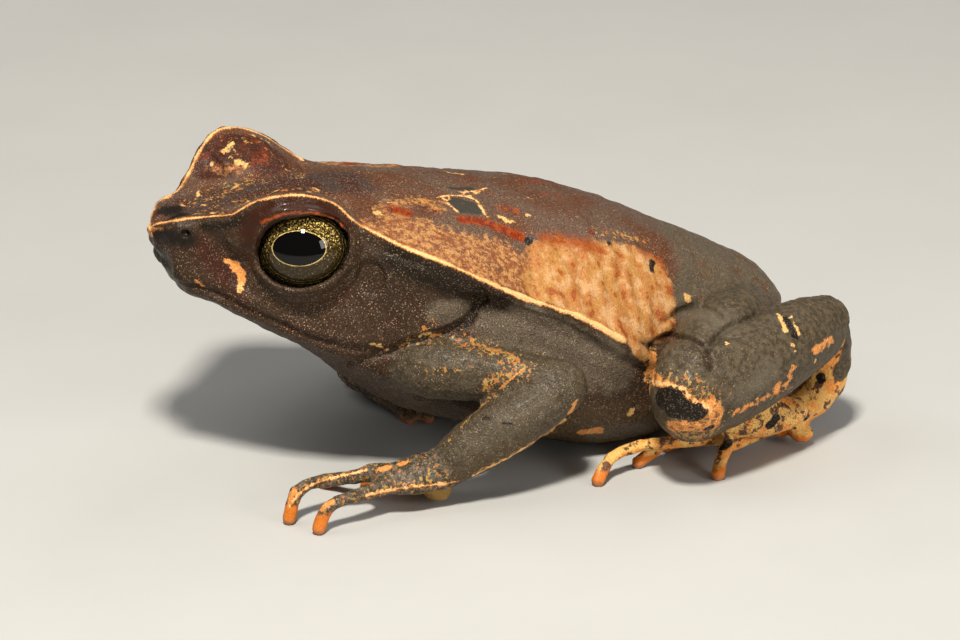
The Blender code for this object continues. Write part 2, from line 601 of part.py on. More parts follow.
def make_eyes(head):
    cutters = []
    eyes = []
    for side, name in ((1, "eye_l"), (-1, "eye_r")):
        frame = eye_place(side)
        centre = tuple(frame.translation)
        axis = tuple(frame.to_3x3() @ Vector((0, 0, 1)))
        radius = eyeRadius + gap
        cutters.append(ball("socket", centre, (radius, radius, radius), 20, 12, axis))
        outline = almond(openingHalfWidth * openingShare, openingHalfHeight * openingShare)
        cutters.append(prism("opening", outline, 1.0, 13.0, frame, 2.0))
        eyes.append(ball(name, centre, (eyeRadius, eyeRadius, eyeRadius), 20, 12, axis))
        nostril = np.array(nostrilCentre) * (side, 1, 1)
        pointing = (nostrilAxis[0] * side, nostrilAxis[1], nostrilAxis[2])
        cutters.append(ball("nostril", nostril, nostrilSize, 8, 6, pointing))
    for cutter in cutters:
        boolean(head, [cutter], "DIFFERENCE")
        remove([cutter])
    keep_largest(head)
    return eyes


def cut_and_drop(obj, cutters):
    for cutter in cutters:
        boolean(obj, [cutter], "DIFFERENCE")
    keep_largest(obj)


def flat_on_floor(obj):
    """A small flat at the floor under whatever reaches it."""
    if vertex_points(obj)[:, 2].min() < 0:
        plane_cut(obj, (0, 0, 0), (0, 0, -1))
        keep_largest(obj)


def direction(rows, fromIndex, toIndex, side):
    start = Vector(rows[fromIndex][:3])
    end = Vector(rows[toIndex][:3])
    step = end - start
    return Vector((step.x * side, step.y, step.z)).normalized()


def joint_of(rows, index, side):
    x, y, z = rows[index][:3]
    return Vector((x * side, y, z))


def part_at(first, second, before, after, side):
    """Parts two pieces of a limb where the rows of the first end and those of the second start."""
    joint = joint_of(after, 0, side)
    mitre(first, second, joint, direction(before, 3, 2, side), direction(after, 0, 1, side))


def make_hand(name, side, palmRows, fingerRows, heel):
    base = limb_tube(name, palmRows, side, 0, 14, 5, 3)
    digits = []
    for rows in fingerRows:
        digits.append(limb_tube("finger", rows, side, 0, 8, 3 * len(rows) - 2, 3))
    for x, y, z, r in heel:
        digits.append(ball("tubercle", (x * side, y, z), (r, r, r * 0.8), 10, 6))
    boolean(base, digits, "UNION")
    remove(digits)
    keep_largest(base)
    thin_out(base, handTriangles)
    return base


def make_arm(side, tag, arm, fore, palmRows, fingerRows, heel, trunk):
    upper = limb_tube("upper_arm_" + tag, arm, side, 0, 16, 8, 4)
    lower = limb_tube("forearm_" + tag, fore, side, 0, 16, 8, 4)
    hand = make_hand("hand_" + tag, side, palmRows, fingerRows, heel)
    part_at(upper, lower, arm, fore, side)
    part_at(lower, hand, fore, palmRows, side)
    cut_and_drop(upper, [trunk])
    cut_and_drop(lower, [trunk])
    for piece in (upper, lower, hand):
        flat_on_floor(piece)
        keep_largest(piece)
    return [upper, lower, hand]


def make_leg(side, tag, trunk, ham, shin, heel, plate):
    upper = limb_tube("thigh_" + tag, ham, side, 0, 16, 8, 4)
    lower = limb_tube("shank_" + tag, shin, side, 0, 16, 8, 4)
    ankle = limb_tube("tarsus_" + tag, heel, side, 0, 12, 6, 3)
    balls = [(x, y + plate[0][1], z, radius) for x, y, z, radius in soleBalls]
    foot = make_hand("foot_" + tag, side, plate, toes, balls)
    part_at(upper, lower, ham, shin, side)
    part_at(lower, ankle, shin, heel, side)
    part_at(ankle, foot, heel, plate, side)
    cut_and_drop(upper, [trunk])
    cut_and_drop(lower, [trunk])
    shield = limb_tube("shield", shin, side, gap, 16, 8, 4)
    cut_and_drop(foot, [trunk, shield])
    remove([shield])
    for piece in (upper, lower, ankle, foot):
        flat_on_floor(piece)
        keep_largest(piece)
    return [upper, lower, ankle, foot]


def paint(obj, colour, roughness):
    material = bpy.data.materials.new(obj.name)
    material.use_nodes = True
    shader = material.node_tree.nodes["Principled BSDF"]
    shader.inputs["Base Color"].default_value = (*colour, 1)
    shader.inputs["Roughness"].default_value = roughness
    shader.inputs["Metallic"].default_value = 0
    obj.data.materials.clear()
    obj.data.materials.append(material)


def main():
    for obj in list(bpy.data.objects):
        bpy.data.objects.remove(obj)
    body = make_body()
    trunk = grown_copy(body, "trunk", gap)
    head, lower, torso = split_body(body)
    eyes = make_eyes(head)
    nodes = [head, lower, torso] + eyes
    fingers = [finger1, finger2, finger3, finger4]
    nodes += make_arm(1, "l", upperArm, forearm, palm, fingers, palmBalls, trunk)
    nodes += make_arm(-1, "r", upperArm, forearmIn, palmIn, fingersIn, palmBallsIn, trunk)
    nodes += make_leg(1, "l", trunk, thigh, shank, tarsus, sole)
    nodes += make_leg(-1, "r", trunk, thighLow, shankLow, tarsusLow, soleLow)
    remove([trunk])
    for helper in [obj for obj in bpy.data.objects if obj not in nodes]:
        remove([helper])
    everything = np.concatenate([vertex_points(obj) for obj in nodes])
    low = everything.min(axis=0)
    high = everything.max(axis=0)
    shift = Vector((-(low[0] + high[0]) / 2, -(low[1] + high[1]) / 2, -low[2]))
    print("shift", [round(v, 3) for v in shift])
    for obj in nodes:
        obj.data.transform(Matrix.Scale(0.001, 4) @ Matrix.Translation(shift))
        obj.data.update()
        kind = obj.name.split("_")[0]
        if kind == "eye":
            paint(obj, eyeColour, 0.1)
        elif kind in ("hand", "foot", "tarsus"):
            paint(obj, footColour, 0.55)
        elif kind == "torso":
            paint(obj, backColour, 0.6)
        elif kind == "head":
            paint(obj, skinColour, 0.5)
        elif kind == "lower":
            paint(obj, jawColour, 0.5)
        else:
            paint(obj, limbColour, 0.6)
        print(obj.name, len(obj.data.polygons))


main()
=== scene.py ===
import json
import math
import bpy
import numpy as np
from mathutils import Matrix, Vector
from mathutils.bvhtree import BVHTree

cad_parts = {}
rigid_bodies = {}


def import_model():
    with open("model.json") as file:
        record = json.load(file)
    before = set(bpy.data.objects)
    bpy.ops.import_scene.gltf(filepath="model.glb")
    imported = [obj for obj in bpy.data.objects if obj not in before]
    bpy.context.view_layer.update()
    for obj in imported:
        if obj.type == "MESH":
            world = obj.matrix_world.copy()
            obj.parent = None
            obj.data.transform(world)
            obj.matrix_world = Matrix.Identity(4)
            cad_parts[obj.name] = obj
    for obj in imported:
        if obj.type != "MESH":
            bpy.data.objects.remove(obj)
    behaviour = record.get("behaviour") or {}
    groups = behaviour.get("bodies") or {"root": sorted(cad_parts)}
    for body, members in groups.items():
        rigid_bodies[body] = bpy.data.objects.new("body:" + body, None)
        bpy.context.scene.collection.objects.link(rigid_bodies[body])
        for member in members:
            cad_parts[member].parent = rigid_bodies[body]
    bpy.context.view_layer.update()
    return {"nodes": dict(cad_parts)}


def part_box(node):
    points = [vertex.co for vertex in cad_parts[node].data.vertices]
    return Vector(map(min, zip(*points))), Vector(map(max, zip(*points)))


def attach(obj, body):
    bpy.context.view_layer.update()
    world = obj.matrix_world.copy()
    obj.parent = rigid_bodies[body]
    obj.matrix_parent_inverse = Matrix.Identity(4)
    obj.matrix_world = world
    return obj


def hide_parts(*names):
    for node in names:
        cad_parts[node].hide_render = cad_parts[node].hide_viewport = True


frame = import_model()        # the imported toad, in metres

# The skin is worked out in millimetres in the toad's own frame:
# the toad faces -Y, its left side is +X and the floor is z = 0.
eyePlan = {
    "centre": (6.5, -16.7, 22.1),
    "axis": (0.90, -0.34, 0.27),
    "radius": 4.38,
    "corneaRise": 0.28,
    "corneaSpread": 0.62,
    "segments": 128,
    "rings": 96,
}


def unit(vector):
    return np.array(vector) / np.linalg.norm(vector)


eyeCentre = np.array(eyePlan["centre"])
eyeAxis = unit(eyePlan["axis"])
eyeLow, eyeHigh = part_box("eye_l")
frameShift = np.array((eyeLow + eyeHigh) / 2) * 1000 - eyeCentre


def toMetres(points):
    return (np.asarray(points, float) + frameShift) / 1000


def heading(azimuth, elevation):
    # A direction from the toad, degrees round from its nose towards its left side and degrees up.
    turn = math.radians(azimuth)
    lift = math.radians(elevation)
    return np.array((math.sin(turn) * math.cos(lift), -math.cos(turn) * math.cos(lift), math.sin(lift)))


def addObject(name, data):
    obj = bpy.data.objects.new(name, data)
    bpy.context.scene.collection.objects.link(obj)
    return obj


# The camera
cameraPlan = {
    "azimuth": 69,
    "elevation": 22,
    "distance": 430,         # mm
    "focal": 4730,           # in the photo's pixels
    "aimAcross": 2.0,        # mm
    "aimUp": 9.55,
    "photoSize": (960, 640),
    "sensor": 36,
    "clip": (0.01, 20),      # m
}
camBack = heading(cameraPlan["azimuth"], cameraPlan["elevation"])
camRight = heading(cameraPlan["azimuth"] + 90, 0)
camUp = np.cross(camBack, camRight)
aim = cameraPlan["aimAcross"] * camRight + cameraPlan["aimUp"] * camUp
eyePoint = aim + cameraPlan["distance"] * camBack


def addCamera(plan):
    width = plan["photoSize"][0]
    camera = bpy.data.cameras.new("photoCamera")
    camera.sensor_width = plan["sensor"]
    camera.lens = plan["focal"] * plan["sensor"] / width
    camera.clip_start, camera.clip_end = plan["clip"]
    holder = addObject("photoCamera", camera)
    turn = Matrix([list(row) for row in np.array((camRight, camUp, camBack)).T]).to_4x4()
    holder.matrix_world = Matrix.Translation(Vector(toMetres(eyePoint))) @ turn
    bpy.context.scene.camera = holder


def photoRay(px, py):
    width, height = cameraPlan["photoSize"]
    ray = -camBack * cameraPlan["focal"] + camRight * (px - width / 2) - camUp * (py - height / 2)
    return unit(ray)


addCamera(cameraPlan)
print("camera placed")


# Helpers for meshes
def selectOnly(*objects):
    for other in list(bpy.context.selected_objects):
        other.select_set(False)
    for obj in objects:
        obj.select_set(True)
    bpy.context.view_layer.objects.active = objects[0]


def editAll(operator, **settings):
    # Runs an edit mode operator on the whole of the active mesh.
    bpy.ops.object.mode_set(mode="EDIT")
    bpy.ops.mesh.select_all(action="SELECT")
    operator(**settings)
    bpy.ops.object.mode_set(mode="OBJECT")


def applyModifier(obj, kind, **settings):
    selectOnly(obj)
    modifier = obj.modifiers.new(kind.title(), kind)
    for key, value in settings.items():
        setattr(modifier, key, value)
    bpy.ops.object.modifier_apply(modifier=modifier.name)


def readVectors(obj, field):
    flat = np.empty(len(obj.data.vertices) * 3, np.float32)
    obj.data.vertices.foreach_get(field, flat)
    return flat.reshape(-1, 3).astype(float)


def getPoints(obj):
    return readVectors(obj, "co")


def getNormals(obj):
    return readVectors(obj, "normal")


def setPoints(obj, points):
    obj.data.vertices.foreach_set("co", np.asarray(points, np.float32).ravel())
    obj.data.update()


def getEdges(obj):
    flat = np.empty(len(obj.data.edges) * 2, np.int32)
    obj.data.edges.foreach_get("vertices", flat)
    return flat.reshape(-1, 2)


relaxShares = (0.55, -0.56)  # towards the neighbours and a little back, so that the form doesn't shrink


def relax(points, edges, strength, rounds):
    count = len(points)
    degree = np.bincount(edges.ravel(), minlength=count).astype(float)[:, None]
    for _ in range(rounds):
        for share in relaxShares:
            total = np.empty_like(points)
            for axis in range(3):
                ahead = np.bincount(edges[:, 0], points[edges[:, 1], axis], count)
                behind = np.bincount(edges[:, 1], points[edges[:, 0], axis], count)
                total[:, axis] = ahead + behind
            points = points + share * strength[:, None] * (total / degree - points)
    return points


def ease(value):
    value = np.clip(value, 0, 1)
    return value * value * (3 - 2 * value)


def fade(value, start, end):
    # 0 where the value is at start, 1 where it is at end, and smooth between them.
    return ease((value - start) / (end - start))


ripplePlan = {"waves": 9, "sizes": (0.7, 1.35), "fullHeight": 3.2}


def ripple(points, size, seed):
    # A smooth random height from -1 to 1 with bumps about one size across.
    draw = np.random.default_rng(seed)
    total = np.zeros(len(points))
    for _ in range(ripplePlan["waves"]):
        course = draw.normal(size=3)
        course *= draw.uniform(*ripplePlan["sizes"]) * math.pi / size / np.linalg.norm(course)
        total += np.sin(points @ course + draw.uniform(0, 2 * math.pi))
    return np.clip(total / ripplePlan["fullHeight"], -1, 1)


# The skin: one mesh for all the nodes of flesh
skinPlan = {
    "kept": ("eye_l", "eye_r"),
    "swell": 0.28,           # mm, closes the gaps between the solids until they are one
    "voxel": 0.2,            # mm
    "bodyRelax": 14,         # rounds
    "handRelax": 4,
    "digitSwell": 0.12,      # share of the swelling that the digits keep
    "digitReach": (1.2, 0.6),    # mm from the solids of hand and foot, over which that share sets in
    "joinGap": 0.002,        # mm, points nearer than this are one
    "triangles": 193000,
}

# Flesh that fills hollows between the solids: (centre, half sizes), in mm, on the left side.
fleshBalls = [
    ((17.2, 22.3, 4.3), (1.9, 4.6, 1.8)),
    ((15.0, -7.8, 1.6), (2.0, 1.5, 1.3)),
]


def addBall(centre, halfSizes):
    bpy.ops.object.select_all(action="DESELECT")
    bpy.ops.mesh.primitive_uv_sphere_add(segments=24, ring_count=16, radius=1)
    ball = bpy.context.object
    setPoints(ball, toMetres(getPoints(ball) * np.array(halfSizes) + np.array(centre)))
    return ball


def joinFlesh(plan):
    copies = []
    for name, node in frame["nodes"].items():
        if name not in plan["kept"]:
            copies.append(addObject("flesh_" + name, node.data.copy()))
    copies += [addBall(centre, halfSizes) for centre, halfSizes in fleshBalls]
    selectOnly(*copies)
    bpy.ops.object.join()
    skin = copies[0]
    skin.name = "skin"
    skin.data.name = "skin"
    skin.data.materials.clear()
    setPoints(skin, getPoints(skin) * 1000 - frameShift)
    editAll(bpy.ops.mesh.remove_doubles, threshold=plan["joinGap"])
    return skin


def keepLargest(obj):
    # The remesh can leave closed pockets inside, so only the outer skin stays.
    selectOnly(obj)
    before = set(bpy.context.scene.objects)
    editAll(bpy.ops.mesh.separate, type="LOOSE")
    parts = [obj] + [o for o in bpy.context.scene.objects if o not in before]
    parts.sort(key=lambda o: len(o.data.vertices))
    for part in parts[:-1]:
        bpy.data.objects.remove(part)
    parts[-1].name = "skin"
    return parts[-1]


def nodeReach(points, names, far=1.5):
    # How far each point is from some of the CAD's nodes, up to far.
    corners = []
    faces = []
    for name in names:
        mesh = frame["nodes"][name].data
        start = len(corners)
        corners += [Vector(np.array(v.co) * 1000 - frameShift) for v in mesh.vertices]
        faces += [[start + i for i in face.vertices] for face in mesh.polygons]
    tree = BVHTree.FromPolygons(corners, faces)
    low = np.array(corners).min(0) - far
    high = np.array(corners).max(0) + far
    reach = np.full(len(points), far)
    for i in np.nonzero(((points > low) & (points < high)).all(1))[0]:
        found = tree.find_nearest(Vector(points[i]), far)
        if found[3] is not None:
            reach[i] = found[3]
    return reach


def nodesLike(*starts):
    return [name for name in frame["nodes"] if name.startswith(starts)]


skin = joinFlesh(skinPlan)
applyModifier(skin, "DISPLACE", strength=skinPlan["swell"], mid_level=0, direction="NORMAL")
applyModifier(skin, "REMESH", mode="VOXEL", voxel_size=skinPlan["voxel"])
skin = keepLargest(skin)
print("skin joined:", len(skin.data.vertices), "points")

points = getPoints(skin)
edges = getEdges(skin)
handReach = nodeReach(points, nodesLike("hand", "foot", "tarsus"))
fine = fade(handReach, *skinPlan["digitReach"])
points = relax(points, edges, np.ones(len(points)), skinPlan["handRelax"])
points = relax(points, edges, 1 - fine, skinPlan["bodyRelax"])
setPoints(skin, points)
shrink = skinPlan["swell"] * (1 - fine * skinPlan["digitSwell"])
points = points - getNormals(skin) * shrink[:, None]
points[:, 2] = np.maximum(points[:, 2], 0)
setPoints(skin, points)
print("skin relaxed")


# Places on the skin, given by the photo's pixels
def skinTree(obj):
    return BVHTree.FromObject(obj, bpy.context.evaluated_depsgraph_get())


tree = skinTree(skin)
slidePlan = {"middle": (470, 300), "pixels": 14}


def onSkin(px, py):
    # A pixel just off the outline slides towards the middle of the toad until it meets the skin.
    inward = unit(np.array(slidePlan["middle"], float) - (px, py))
    for slide in range(slidePlan["pixels"]):
        ray = photoRay(px + slide * inward[0], py + slide * inward[1])
        hit = tree.ray_cast(Vector(eyePoint), Vector(ray), 2 * cameraPlan["distance"])[0]
        if hit is not None:
            return np.array(hit)
    raise ValueError(f"the photo's pixel {px}, {py} isn't on the toad")


def roundCorners(pixels, rounds=2):
    # Cuts each corner of a path twice, so that a line drawn along it bends smoothly.
    path = np.array(pixels, float).reshape(-1, 2)
    for _ in range(rounds if len(path) > 2 else 0):
        first, second = path[:-1], path[1:]
        cut = np.stack((0.75 * first + 0.25 * second, 0.25 * first + 0.75 * second), 1).reshape(-1, 2)
        path = np.concatenate((path[:1], cut, path[-1:]))
    return path


def tracePath(pixels):
    path = np.array([onSkin(px, py) for px, py in roundCorners(pixels)])
    path[:, 0] = np.abs(path[:, 0])
    return path


def folded(vectors, side):
    # The right half is folded over on to the left one, so that both carry the same marks.
    # Paths lie on the folded half too, and tracePath folds them.
    out = vectors.copy()
    out[:, 0] *= side
    return out


def nearPath(points, normals, path):
    # Distance to a path, the signed offset to its side on the skin, and the way from it.
    best = np.full(len(points), np.inf)
    offset = np.zeros(len(points))
    way = np.zeros_like(points)
    if len(path) == 1:
        path = np.stack((path[0], path[0] + 0.01))
    for a, b in zip(path[:-1], path[1:]):
        span = b - a
        share = np.clip((points - a) @ span / max(span @ span, 1e-9), 0, 1)
        away = points - a - share[:, None] * span
        distance = np.linalg.norm(away, axis=1)
        closer = distance < best
        across = np.cross(normals[closer], span)
        across /= np.linalg.norm(across, axis=1, keepdims=True) + 1e-9
        best[closer] = distance[closer]
        offset[closer] = (away[closer] * across).sum(1)
        way[closer] = away[closer]
    return best, offset, way


# A path is a list of places in the photo's pixels: across, down, across, down and so on.
creamLine = [
    148, 229, 152, 226, 157, 223.5, 168, 221.5, 181.5, 219.5, 198, 217.5, 214.5, 216, 234, 215, 246, 206,
    256, 201, 271, 197.5, 284, 195.5, 299, 194.5, 316, 197, 327, 200.5, 337, 204.5, 345.5, 213,
    355.5, 222.5, 372, 231, 400, 245.5, 430, 257, 460, 269, 490, 283, 523, 297.5, 560, 309, 590, 321,
    608, 332, 624, 340,
]
farLineStart = [
    149, 226, 153, 209, 158, 201.5, 167, 196.5, 179, 190, 184, 181, 192, 167, 197.5, 153, 206.5, 139.5,
    214, 131.5, 226, 127, 239.5, 127, 252, 130.5, 263, 135, 272, 140.5, 282, 147, 291, 152.5, 300, 158,
]

# Regions of colour: each is a list of soft strokes, (radius in mm, feather in mm, paths).
regions = {
    "flank": [
        (2.8, 1.8, [560, 265, 585, 268, 610, 285, 640, 305]),
        (2.2, 1.2, [545, 284, 575, 298, 602, 313, 632, 336]), (1.2, 1.4, [539, 252, 541, 285]),
        (1.5, 1.6, [600, 255, 650, 262, 664, 300, 652, 335]),
    ],
    "flankTip": [(0.7, 0.7, [628, 334, 637, 345, 644, 354])],
    "rump": [
        (3.4, 1.8, [716, 272, 706, 305, 728, 300]), (2.0, 5.0, [692, 228, 725, 250, 752, 285]),
        (1.2, 1.2, [668, 352, 685, 330]),
    ],
    # the dark band is partly dark skin and partly painted shade under the cream line's ridge and in the
    # shoulder fold
    "darkBandAndShade": [
        (1.2, 1.8, [395, 258, 430, 276, 465, 291, 500, 302]),
        (0.5, 0.9, [476, 300, 474, 316, 462, 328], [205, 226, 240, 222, 258, 214, 285, 202]),
    ],
    # the lighter grey behind the shoulder is partly the skin's grey and partly a painted sheen
    "greySideAndSheen": [
        (2.6, 2.4, [500, 325, 545, 345, 590, 365]), (1.3, 1.2, [528, 314, 556, 326, 586, 342, 604, 356]),
        (1.2, 1.6, [440, 312, 462, 308]), (2.0, 2.0, [600, 350, 615, 375]),
    ],
    "redBand": [
        (0.55, 0.5, [461, 219, 480, 221, 500, 228, 520, 237]), (0.7, 1.2, [392, 209, 408, 213]),
        (0.35, 1.4, [502, 208, 517, 212]), (0.35, 1.6, [538, 192, 560, 197]), (0.35, 0.7, [402, 210]),
        (0.3, 2.2, [254, 162, 264, 158]),
    ],
    "redFlank": [
        (0.9, 2.2, [546, 239, 575, 242, 598, 249]), (0.5, 1.6, [640, 252, 662, 262]),
    ],
    "cheekDark": [(1.6, 3.5, [372, 262, 385, 285, 392, 305])],
    "lidRed": [
        (0.16, 0.45, [262, 223, 275, 216.5, 289, 213.5, 303, 212.5, 317, 213.5, 331, 217.5, 342, 226]),
    ],
    "browRed": [(0.8, 2.0, [249, 240, 248, 226, 262, 212, 280, 205, 302, 203, 328, 209, 344, 222])],
    "noseRed": [(1.2, 2.6, [205, 250, 220, 268, 232, 282])],
    "noseDark": [
        (0.8, 1.8, [157, 235, 172, 238, 187, 239]), (0.3, 2.2, [158, 248, 166, 263, 178, 277]),
        (0.7, 1.1, [165, 211, 177, 209.5]),
    ],
    "parotoid": [
        (0.9, 1.6, [368, 225, 400, 240, 440, 253, 480, 268, 512, 284]),
        (1.8, 2.6, [398, 224, 424, 234, 460, 243, 500, 254, 518, 268]), (1.0, 0.8, [518, 262, 521, 284]),
        (0.5, 2.6, [378, 210, 402, 202, 426, 202, 437, 206]), (0.3, 1.2, [211, 168, 226, 170, 244, 168]),
    ],
    "mottle": [
        (1.0, 1.6, [462, 342, 492, 350, 512, 358, 524, 370]), (0.3, 1.4, [404, 344, 424, 341, 446, 344]),
        (0.7, 0.9, [486, 388, 498, 378, 512, 370]), (0.4, 0.8, [432, 322, 420, 334, 405, 345]),
        (0.3, 0.5, [563, 420, 546, 433, 528, 445, 510, 456, 492, 465, 478, 472]),
        (0.2, 0.5, [520, 371, 490, 398, 466, 421, 444, 446]), (0.1, 1.6, [470, 366, 450, 372, 425, 368]),
        (1.6, 1.6, [700, 400, 714, 420, 700, 436, 680, 432]), (0.6, 1.0, [650, 345, 647, 370, 650, 392]),
        (0.5, 1.4, [665, 375, 690, 378, 716, 400]), (0.3, 0.6, [732, 412, 755, 402, 772, 396, 790, 388]),
        (0.3, 1.0, [185, 205, 205, 200, 232, 192, 250, 182], [412, 197, 430, 203, 440, 210]),
        (0.3, 1.2, [240, 204, 262, 196, 280, 190, 312, 187, 322, 193]),
        (0.5, 1.2, [599, 231, 620, 234, 642, 241]),
        (0.1, 1.0, [180, 204, 200, 195, 222, 184, 256, 177, 275, 184], [196, 208, 214, 205, 236, 200]),
    ],
    "gold": [
        (0.3, 0.5, [421, 335, 428, 333], [726, 343]),
        (0.1, 0.5, [196, 196, 199, 191], [182, 205, 186, 205], [311, 187, 321, 191]),
        (0.1, 0.5, [250, 133.5, 256, 137, 268, 142]),
        (0.1, 0.45, [206, 205], [236, 186]), (0.05, 0.5, [271, 181], [221, 181, 226, 187]),
        (0.1, 0.4, [471, 196, 478, 193]), (0.16, 0.3, [358, 241]), (0.5, 0.6, [688, 298]),
        (0.17, 0.25, [778, 314, 782, 322, 787, 332]), (0.15, 0.25, [791, 316, 797, 326, 799, 334]),
        (0.14, 0.25, [793, 344, 797, 349]), (0.4, 0.4, [631, 412]), (0.25, 0.3, [815, 361]),
        (0.28, 0.4, [223, 151.5, 230, 147]), (0.3, 0.4, [238, 161, 245, 165]),
        (0.2, 0.35, [211, 166], [526, 216, 530, 215]), (0.25, 0.35, [374, 212, 380, 214], [531, 198]),
        (0.2, 0.3, [389, 203], [197, 196], [278, 190]), (0.18, 0.3, [203, 205]),
        (0.12, 0.6, [371, 343, 378, 345, 387, 350]), (0.3, 0.3, [240, 289, 241, 284]),
        (0.1, 0.25, [386, 224, 394, 227]), (0.22, 0.35, [500, 217, 511, 221]),
        (0.12, 0.25, [483, 191, 478, 190, 466, 191]),
    ],
    "orange": [
        (0.22, 0.3, [226, 261, 233, 262], [196, 281, 203, 285]),
        (0.3, 0.7, [322, 508, 333, 501], [289, 498, 294, 492]),
        (0.38, 0.3, [234, 264, 240, 270, 242, 277, 241, 283]), (0.09, 0.2, [229, 294, 235, 296]),
        (0.07, 0.2, [254, 313, 260, 315], [286, 328, 294, 331]), (0.25, 0.4, [571, 412, 576, 402]),
        (0.45, 0.6, [653, 354, 652, 366, 653, 379, 664, 384]),
        (0.3, 0.5, [149, 226, 151, 219], [793, 368, 789, 375], [778, 385, 774, 390]),
        (0.3, 0.6, [380, 469, 388, 467], [400, 464, 408, 462]), (0.6, 0.8, [672, 427, 690, 427, 704, 427]),
        (0.6, 1.0, [712, 405, 718, 414, 714, 424]), (0.4, 0.9, [649, 372, 650, 388]),
        (0.35, 0.9, [815, 351, 823, 346, 831, 341]), (0.25, 0.5, [768, 395], [756, 400]),
        (0.2, 0.5, [742, 411]), (0.15, 1.1, [735, 413, 755, 403, 772, 394, 790, 380]),
        (0.45, 0.8, [582, 432, 600, 430]), (0.14, 0.3, [430, 338, 440, 335]),
        (0.2, 0.4, [148, 230, 150, 235]),
    ],
    "black": [
        (0.42, 0.4, [529, 241]), (0.3, 0.4, [652, 262, 652, 270], [805, 419], [706, 429, 712, 427]),
        (0.3, 0.8, [610, 244]), (1.1, 0.4, [664, 399, 676, 402]), (0.9, 0.4, [672, 408, 690, 411, 698, 412]),
        (0.5, 0.5, [821, 378]), (0.4, 0.4, [769, 426, 776, 418]), (0.35, 0.4, [722, 448, 730, 442]),
        (0.3, 0.3, [786, 318, 791, 328, 796, 340]), (0.2, 0.3, [731, 341]), (0.2, 0.6, [485, 418, 490, 419]),
        (0.15, 0.6, [504, 423, 513, 424]),
    ],
    "crown": [(2.2, 3.0, [185, 208, 225, 200, 262, 190, 300, 180, 340, 178, 352, 186])],
    "farLid": [
        (2.0, 1.6, [222, 156, 236, 146, 256, 147, 270, 156]), (1.0, 1.4, [206, 170, 216, 160]),
    ],
    "limbPale": [
        (1.7, 2.6, [672, 318, 700, 312, 728, 324]), (1.2, 2.4, [470, 452, 505, 428, 545, 402]),
        (1.0, 1.4, [742, 395, 758, 384, 772, 372]),
    ],
    "heelGrey": [(1.1, 0.7, [846, 316, 850, 336, 849, 356, 843, 370])],
    "ankle": [
        (1.7, 0.6, [736, 436, 755, 427, 772, 418, 789, 409, 803, 403]),
        (1.3, 0.8, [742, 441, 758, 436, 772, 430, 786, 424]),
    ],
    "greyPatch": [
        (0.75, 0.4, [456, 202, 466, 205, 473, 207]), (0.5, 0.4, [461, 210, 477, 211]),
        (0.3, 0.3, [450, 188, 472, 189]),
    ],
    "gloss": [
        (0.4, 1.2, [280, 211, 292, 209, 305, 208.5, 318, 210]), (0.35, 0.7, [181, 226, 192, 226]),
    ],
    "palmSole": [(1.4, 0.8, [430, 491, 440, 495, 450, 492])],
}

# Thin cream lines: (half width in mm, path).
trims = [
    (0.11, [441, 197, 450, 195, 462, 196, 473, 198, 477, 201, 481, 208, 485, 214]),
    (0.10, [441, 197, 448, 203, 455, 209.5]),
    (0.08, [463, 192, 475, 191, 483, 189]),
    (0.16, [648, 380, 660, 383, 682, 386.5, 688, 394, 691, 400, 703, 402, 710, 409]),
    (0.02, [519, 372, 503, 386]),
    (0.14, [562, 421, 546, 434, 528, 446, 510, 457, 492, 466, 477, 474]),
    (0.12, [454, 482, 440, 484, 415, 486, 392, 489, 370, 494]),
    (0.10, [362, 471, 335, 477, 314, 483, 300, 492, 292, 503]),
]


# Sculpting
def ring(px, py, across, down, steps=14):
    turns = np.linspace(0, 2 * math.pi, steps)
    return [(px + across * math.cos(t), py + down * math.sin(t)) for t in turns]


# Places drawn out or in: (centre, radius, move), in mm, the same on both sides.
pulls = [
    ((2.0, -26.6, 24.6), 3.0, (0.10, -0.30, 0.25)),
    ((4.8, -23.6, 25.4), 2.2, (0.40, 0.0, 0.0)),
    ((5.0, -25.3, 26.0), 1.9, (0.0, 0.45, -0.5)),
    ((2.0, -26.8, 18.2), 4.2, (0.0, -0.2, -0.6)),
    ((5.6, -13.7, 26.4), 3.2, (0.0, 0.0, -1.8)),
    ((1.3, -27.95, 19.9), 2.1, (0.0, 0.65, 0.0)),
    ((0.8, -28.1, 21.3), 1.3, (0.0, -0.40, 0.0)),
    ((1.3, -27.7, 18.9), 1.2, (0.0, -0.40, 0.0)),
    ((0.5, -28.4, 22.7), 1.7, (0.0, -0.26, 0.0)),
    ((15.4, -9.8, 3.6), 3.0, (0.0, 0.0, 0.9)),
    ((15.0, -13.0, 3.4), 2.8, (0.0, 0.0, 0.8)),
]

# The upper lid comes down over the eye: it is turned about the eye's centre by so many radians.
lidDrop = {"pixel": (300, 212), "radius": 3.3, "turn": 0.10}

# Deep folds, with painted shade drawn along them as well: (depth in mm, width in mm, path).
creases = [
    (0.65, 0.55, [652, 347, 663, 338, 674, 335.5, 686, 336.5, 698, 341.5, 705, 347, 708, 357, 710, 368]),
    (0.45, 0.5, [710, 345, 720, 332, 731, 325, 746, 319, 758, 312]),
    (0.32, 0.5, [664, 322, 678, 311, 698, 306, 714, 308, 724, 318]),
    (0.22, 0.4, [528, 240, 529, 258, 530, 276, 531, 293]),
]

